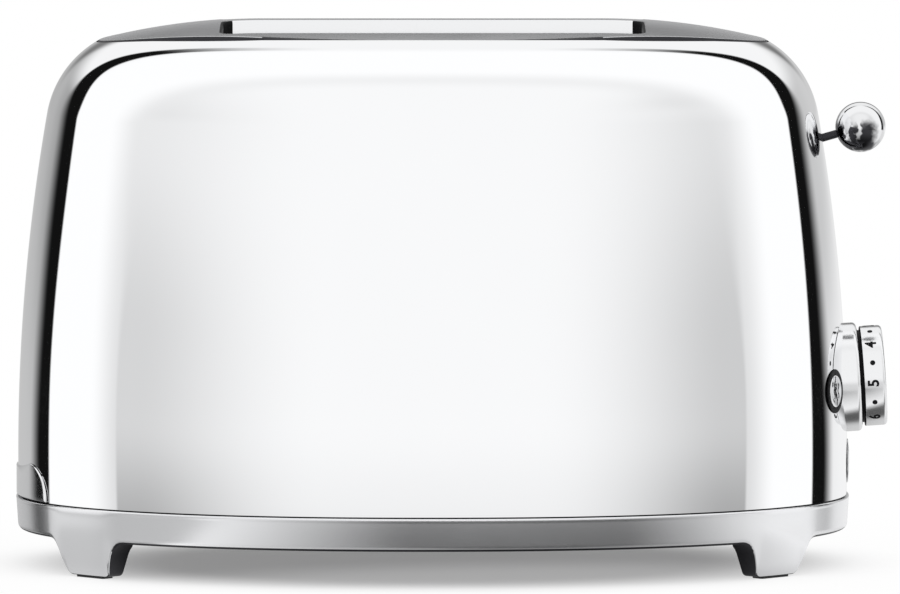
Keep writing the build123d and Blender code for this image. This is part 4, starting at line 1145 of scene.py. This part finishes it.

# %% [markdown]
# ### The ball's finish
# A ball mirrors the whole studio, dark stands and all, in a picture a few millimetres wide.
# The drawn room is too plain for that. So a reflection is painted into the ball's colour: dark
# over the lower front, as of a dark table, with two bright upright streaks, and a noise that makes the
# borders uneven.

# %% Chrome with a painted reflection
ball_chrome, g = new_material("ball_chrome")
shader = g.node("ShaderNodeBsdfPrincipled")
shader.inputs["Metallic"].default_value = 1.0
place = g.node("ShaderNodeMapping", vector_type="TEXTURE")
g.feed(place.inputs["Vector"], g.node("ShaderNodeTexCoord").outputs["Object"])
place.inputs["Location"].default_value = ball_centre * MM
place.inputs["Scale"].default_value = (ball_radius * MM,) * 3
split = g.node("ShaderNodeSeparateXYZ")
g.feed(split.inputs[0], place.outputs["Vector"])
uneven = g.node("ShaderNodeTexNoise")
g.feed(uneven.inputs["Vector"], place.outputs["Vector"])
uneven.inputs["Scale"].default_value = 2.6
across = g.plus(split.outputs["X"], g.ramp(uneven.outputs[0], 0.3, 0.7, -0.12, 0.12, False))
high = g.plus(split.outputs["Z"], g.ramp(uneven.outputs[0], 0.3, 0.7, 0.10, -0.10, False))
# painted reflection: the lower front of the ball is darkened as if it mirrored a dark table, and two
# streaks are left bright
painted_reflection_dark = g.times(g.ramp(high, 0.34, 0.04), g.ramp(high, -0.97, -0.88), g.ramp(across, 0.74, 0.40))
for middle, width in ((-0.58, 0.10), (-0.12, 0.06)):
    off_streak = g.math("ABSOLUTE", g.minus(across, middle))
    painted_streak = g.times(g.ramp(off_streak, width + 0.06, width), g.ramp(high, -0.50, -0.36))
    painted_reflection_dark = g.times(painted_reflection_dark, g.minus(1.0, painted_streak))
bright_tone, painted_dark_tone = (0.86, 0.865, 0.875), (0.05, 0.05, 0.055)
g.feed(shader.inputs["Base Color"], g.blend_colours(painted_reflection_dark, bright_tone, painted_dark_tone))
shader.inputs["Roughness"].default_value = 0.06
g.finish_with("Material", shader)
ball = lathe("ball", ball_profile, rod_plane, ball_chrome, 128, 40)
settle(ball, "carriage", "chrome", "lever_ball")

# %% [markdown]
# ## The dial
# A ring in the shell frames a drum that turns. Both are turned parts with soft edges, so both
# come from the lathe. The ring's bore and the back of the drum are painted black as the shade in the gap
# round the drum.

# %% Bezel
cup_rim, cup_radius = 5.1, 18.5


def inside_cup(place, facing):
    """True inside the bezel's bore, which is painted black as shade."""
    offset = place - dial_plane[0]
    height = offset.dot(dial_plane[3])
    return height < cup_rim and (offset - dial_plane[3] * height).length < cup_radius


bezel_profile = rounded([
    (3.1, -3.4, 0), (17.5, -3.4, 0.6), (17.5, 5.0, 0.7), (20.0, 5.0, 1.6),
    (20.0, -5.5, 0), (6.0, -5.5, 0.4), (6.0, -17.0, 0), (3.1, -17.0, 0),
])
bezel = lathe("bezel", bezel_profile + bezel_profile[:1], dial_plane, satin_chrome, 128, 32)
# painted shade: the bezel's bore is black so that the gap round the drum looks dark
second_finish(bezel, black_plastic, inside_cup)
settle(bezel, "body", "satin_chrome", "dial_bezel")

# %% Drum
drum_radius, drum_back, drum_front = 18.4, 6.1, 14.3
drum_profile = rounded([
    (3.03, 2.6, 0), (17.0, 2.6, 0.3), (17.0, drum_back, 0.2), (drum_radius, drum_back, 0.4),
    (drum_radius, drum_front, 1.4), (12.0, drum_front - 0.25, 6.0), (0.0, drum_front - 0.6, 0),
])
drum = lathe("drum", [(0.0, 10.3), (3.03, 10.3)] + drum_profile, dial_plane, satin_chrome, 160, 32)


def behind_drum(place, facing):
    """True on the back of the drum and the first hair of its side, painted black as shade."""
    return (place - dial_plane[0]).dot(dial_plane[3]) < drum_back + 0.3


# painted shade: the back of the drum is black, as the gap behind it is in shade
second_finish(drum, black_plastic, behind_drum)
settle(drum, "dial", "satin_chrome", "dial_drum")

# %% [markdown]
# ### The scale
# The numbers 1 to 6 and the dots between them are printed on the drum's side. A picture
# could carry them, but a print keeps its edge only as real shape. So they are thin flat
# shapes wrapped round the drum, a hair above the metal, with their tops towards the shell.


# %% Flat marks
def flat_text(body, size):
    """A short text, centred, as points and faces in millimetres."""
    curve = bpy.data.curves.new("mark", "FONT")
    curve.body, curve.size = body, size
    curve.align_x, curve.align_y = "CENTER", "CENTER"
    curve.resolution_u, curve.extrude, curve.offset = 6, 0.03, 0.17
    holder = bpy.data.objects.new("mark", curve)
    mesh = bpy.data.meshes.new_from_object(holder)
    points = [tuple(vertex.co) for vertex in mesh.vertices]
    faces = [tuple(face.vertices) for face in mesh.polygons]
    bpy.data.objects.remove(holder)
    return points, faces


def flat_disc(radius, segments=28):
    """A thin round dot."""
    spins = [2 * pi * step / segments for step in range(segments)]
    points = []
    for height in (-0.03, 0.03):
        points += [(radius * cos(spin), radius * sin(spin), height) for spin in spins]
    side = [(step, (step + 1) % segments, (step + 1) % segments + segments, step + segments)
            for step in range(segments)]
    return points, side + [tuple(range(segments)), tuple(range(2 * segments - 1, segments - 1, -1))]


print("the number 5 has", len(flat_text("5", 1.0)[1]), "faces")

# %% Marks round the drum
number_step, mark_height, cap_height_share, dot_radius = 47.0, 3.9, 0.70, 0.95
mark_points, mark_faces = [], []


def wrap(shape, degrees_up):
    """Wraps a flat shape round the drum at an angle above the front, its top towards the shell."""
    points, faces = shape
    origin, across, up, facing = dial_plane
    first = len(mark_points)
    for x, y, z in points:
        spin = radians(degrees_up) + x / drum_radius
        outwards = -across * cos(spin) + up * sin(spin)
        along = (drum_back + drum_front) / 2 - 0.5 - y
        mark_points.append(tuple(origin + outwards * (drum_radius + 0.03 + z) + facing * along))
    mark_faces.extend([tuple(index + first for index in face) for face in faces])


for number in range(1, 7):
    place = 90 - (number - 3) * number_step
    wrap(flat_text(str(number), mark_height / cap_height_share), place)
    if number < 6:
        wrap(flat_disc(dot_radius), place - number_step / 2)
marks = make_piece("dial_marks", mark_points, mark_faces, ink, 30)
settle(marks, "dial", "black_plastic")

# %% [markdown]
# ## The programme buttons
# Each button is a bright cap in a black ring, both turned. The caps carry simple signs: three
# rising waves on the front button, a star of strokes on the rear one and two rings on the low
# one. A sign is a few lines, and each line becomes a thin flat ribbon just above its cap.


# %% Signs
def waves():
    """Three wavy lines that rise side by side."""
    return [[(offset + 0.5 * sin(step / 24 * 3 * pi), -2.7 + 5.4 * step / 24) for step in range(25)]
            for offset in (-2.1, 0.0, 2.1)]


def star():
    """Three strokes that cross in the middle."""
    ends = [Vector((cos(radians(spin)), sin(radians(spin)))) * 3.2 for spin in (0, 60, 120)]
    return [[tuple(-end), tuple(end)] for end in ends]


def rings():
    """Two rings about one middle."""
    return [[(radius * cos(2 * pi * step / 40), radius * sin(2 * pi * step / 40)) for step in range(41)]
            for radius in (2.9, 1.2)]


signs = {"defrost": waves(), "reheat": star(), "bagel": rings()}
print("lines in each sign:", {name: len(lines) for name, lines in signs.items()})

# %% Ribbons
ribbon_width, ribbon_depth = 0.75, 0.08


def ribbon(points, width, plane, height):
    """A thin flat ribbon along a line of points on a plane."""
    origin, across, up, facing = plane
    line = [Vector(point) for point in points]
    corners, faces = [], []
    for index, point in enumerate(line):
        ahead = line[min(index + 1, len(line) - 1)] - line[max(index - 1, 0)]
        side = Vector((-ahead.y, ahead.x)).normalized() * width / 2
        for which, drop in ((1, 0), (-1, 0), (-1, ribbon_depth), (1, ribbon_depth)):
            place = point + side * which
            corners.append(tuple(origin + across * place.x + up * place.y + facing * (height - drop)))
    for first in range(0, 4 * (len(line) - 1), 4):
        for a, b in ((0, 1), (1, 2), (2, 3), (3, 0)):
            faces.append((first + a, first + b, first + b + 4, first + a + 4))
    last = 4 * (len(line) - 1)
    return corners, faces + [(3, 2, 1, 0), (last, last + 1, last + 2, last + 3)]


print("a ribbon of one step has", len(ribbon([(0, 0), (1, 0)], 1.0, dial_plane, 0.0)[1]), "faces")

# %% Rings, caps and signs
ring_radius, ring_bore, ring_top = 8.1, 5.95, 0.4
cap_radius, cap_top = 5.85, 0.65


def on_low_ring_wall(place, facing):
    """True on the outer wall of the low button's ring, which is bright."""
    origin, _, _, outwards = button_planes["bagel"]
    height = (place - origin).dot(outwards)
    return height > 0 and (place - origin - outwards * height).length > ring_radius - 0.12


for name, plane in button_planes.items():
    housing = rounded([
        (ring_bore, -6.5, 0), (ring_bore, ring_top, 0.15), (ring_radius, ring_top, 0.3),
        (ring_radius, 0.05, 0), (7.05, 0.05, 0), (7.05, -8.0, 0), (ring_bore, -8.0, 0),
    ])
    seat = lathe(f"{name}_ring", housing + housing[:1], plane, black_plastic, 96, 35)
    if name == "bagel":
        second_finish(seat, chrome, on_low_ring_wall)
    settle(seat, "body", "black_plastic", f"{name}_housing")
    cap = rounded([
        (0.0, -3.5, 0), (cap_radius, -3.5, 0.3), (cap_radius, cap_top, 0.4), (3.5, cap_top, 0),
        (0.0, cap_top, 0),
    ])
    button = lathe(f"{name}_cap", cap, plane, chrome, 96, 35)
    settle(button, f"{name}_key", "chrome", f"{name}_button")
    sign_points, sign_faces = [], []
    for line in signs[name]:
        points, faces = ribbon(line, ribbon_width, plane, cap_top + 0.03)
        sign_faces += [tuple(index + len(sign_points) for index in face) for face in faces]
        sign_points += points
    sign = make_piece(f"{name}_sign", sign_points, sign_faces, ink, 30)
    settle(sign, f"{name}_key", "black_plastic")

# %% [markdown]
# ## The crumb tray's handle
# The tray pulls out by an arched tab that follows the end of the body. It is a thin plate
# with a small round along its edge, which catches a bright line in the photograph. It could
# be cut out of a copy of the shell, but then its edge would be sharp. So its outline is drawn
# flat, filled, and lifted onto the end of the body by the body's own formula.

# %% Handle outline
handle_half_width, handle_low, handle_high, handle_corner = 43.0, 26.3, 39.3, 12.0
handle_back, handle_front = 0.25, 0.65


def arch(margin):
    """The handle's outline, seen from the end of the body, smaller by a margin."""
    wide, low, high = handle_half_width - margin, handle_low + margin, handle_high - margin
    corner = max(handle_corner - margin, 0.1)
    points = []
    for side, spins in ((1, range(0, 91, 6)), (-1, range(90, 181, 6))):
        for spin in spins:
            points.append((side * (wide - corner) + corner * cos(radians(spin)),
                           high - corner + corner * sin(radians(spin))))
    ends = np.array([(-wide, high - corner), (-wide, low), (wide, low), (wide, high - corner)])
    straight_sides = []
    for start, end, count in zip(ends, ends[1:], (4, 60, 4)):
        straight_sides += [start + (end - start) * step / count for step in range(count)]
    return np.array(points + straight_sides[1:])


def on_end(points, outset):
    """Lifts flat (y, z) points onto the tray end of the body, this far outside it."""
    y, z = points[:, 0], points[:, 1]
    share = 1 - np.abs(y / (body_half_depth + outset)) ** plan_exponent
    return np.column_stack([-(body_half_length + outset) * share ** (1 / plan_exponent), y, z])


def inside_arch(points, margin):
    """Which points lie inside the handle's outline, drawn in by a margin."""
    y, z = np.abs(points[:, 0]), points[:, 1]
    corner = handle_corner
    over_y = np.maximum(y - (handle_half_width - corner), 0)
    over_z = np.maximum(z - (handle_high - corner), 0)
    return (np.hypot(over_y, over_z) < corner - margin) & (z > handle_low + margin)


print("the handle's outline has", len(arch(0.0)), "points")


# %% Handle plate
def filled_arch(margin, spacing, clearance):
    """Points and triangles that fill the handle's outline at a margin."""
    return fill_outline([arch(margin)], spacing, lambda points: inside_arch(points, margin + clearance),
                        lambda points: inside_arch(points, margin - 0.01))


edge = 0.3
face, face_triangles = filled_arch(edge, 2.0, 0.8)
back, back_triangles = filled_arch(0.0, 4.0, 1.0)
handle_points = [on_end(face, handle_front), on_end(back, handle_back)]
handle_faces = face_triangles.tolist() + (back_triangles + len(face)).tolist()
rows = []
for turn in range(0, 91, 18):
    margin, drop = edge * (1 - sin(radians(turn))), edge * (1 - cos(radians(turn)))
    rows.append(on_end(arch(margin), handle_front - drop))
rows.append(on_end(arch(0.0), handle_back))
handle_faces += grid_faces(len(rows), len(rows[0]), first=len(face) + len(back))
handle = make_piece("handle", np.concatenate(handle_points + rows), handle_faces, pressed_steel, 35)
settle(handle, "tray", "satin_steel", "tray_handle")

# %% [markdown]
# ## Finishes for the CAD nodes
# The pieces whose CAD shape is already right keep it and get a finish by their material
# slot: wire, zinc sheet, mica boards, rubber pads and the rest.

# %% CAD finishes
slot_finishes = {
    "mirror_steel": mirror_steel, "satin_steel": satin_steel, "cast_base": cast_satin,
    "chrome": chrome, "satin_chrome": satin_chrome, "rubber": rubber,
    "black_plastic": black_plastic, "grey_plastic": grey_plastic, "zinc_sheet": zinc_sheet,
    "dark_sheet": dark_steel, "wire_steel": bright_wire, "mica": mica,
    "ribbon": heat_ribbon, "spring_steel": spring_steel, "brass": brass,
    "copper_coil": copper_coil, "circuit_board": board_green, "white_ceramic": ceramic,
}
for part in frame["record"]["subparts"]:
    node = frame["nodes"][part["node"]]
    node.data.materials.clear()
    node.data.materials.append(slot_finishes[part["material_slot"]])
frame["nodes"]["lever_rod"].data.materials[0] = dark_steel

# %% [markdown]
# ## The end

# %% The end
bpy.context.view_layer.update()
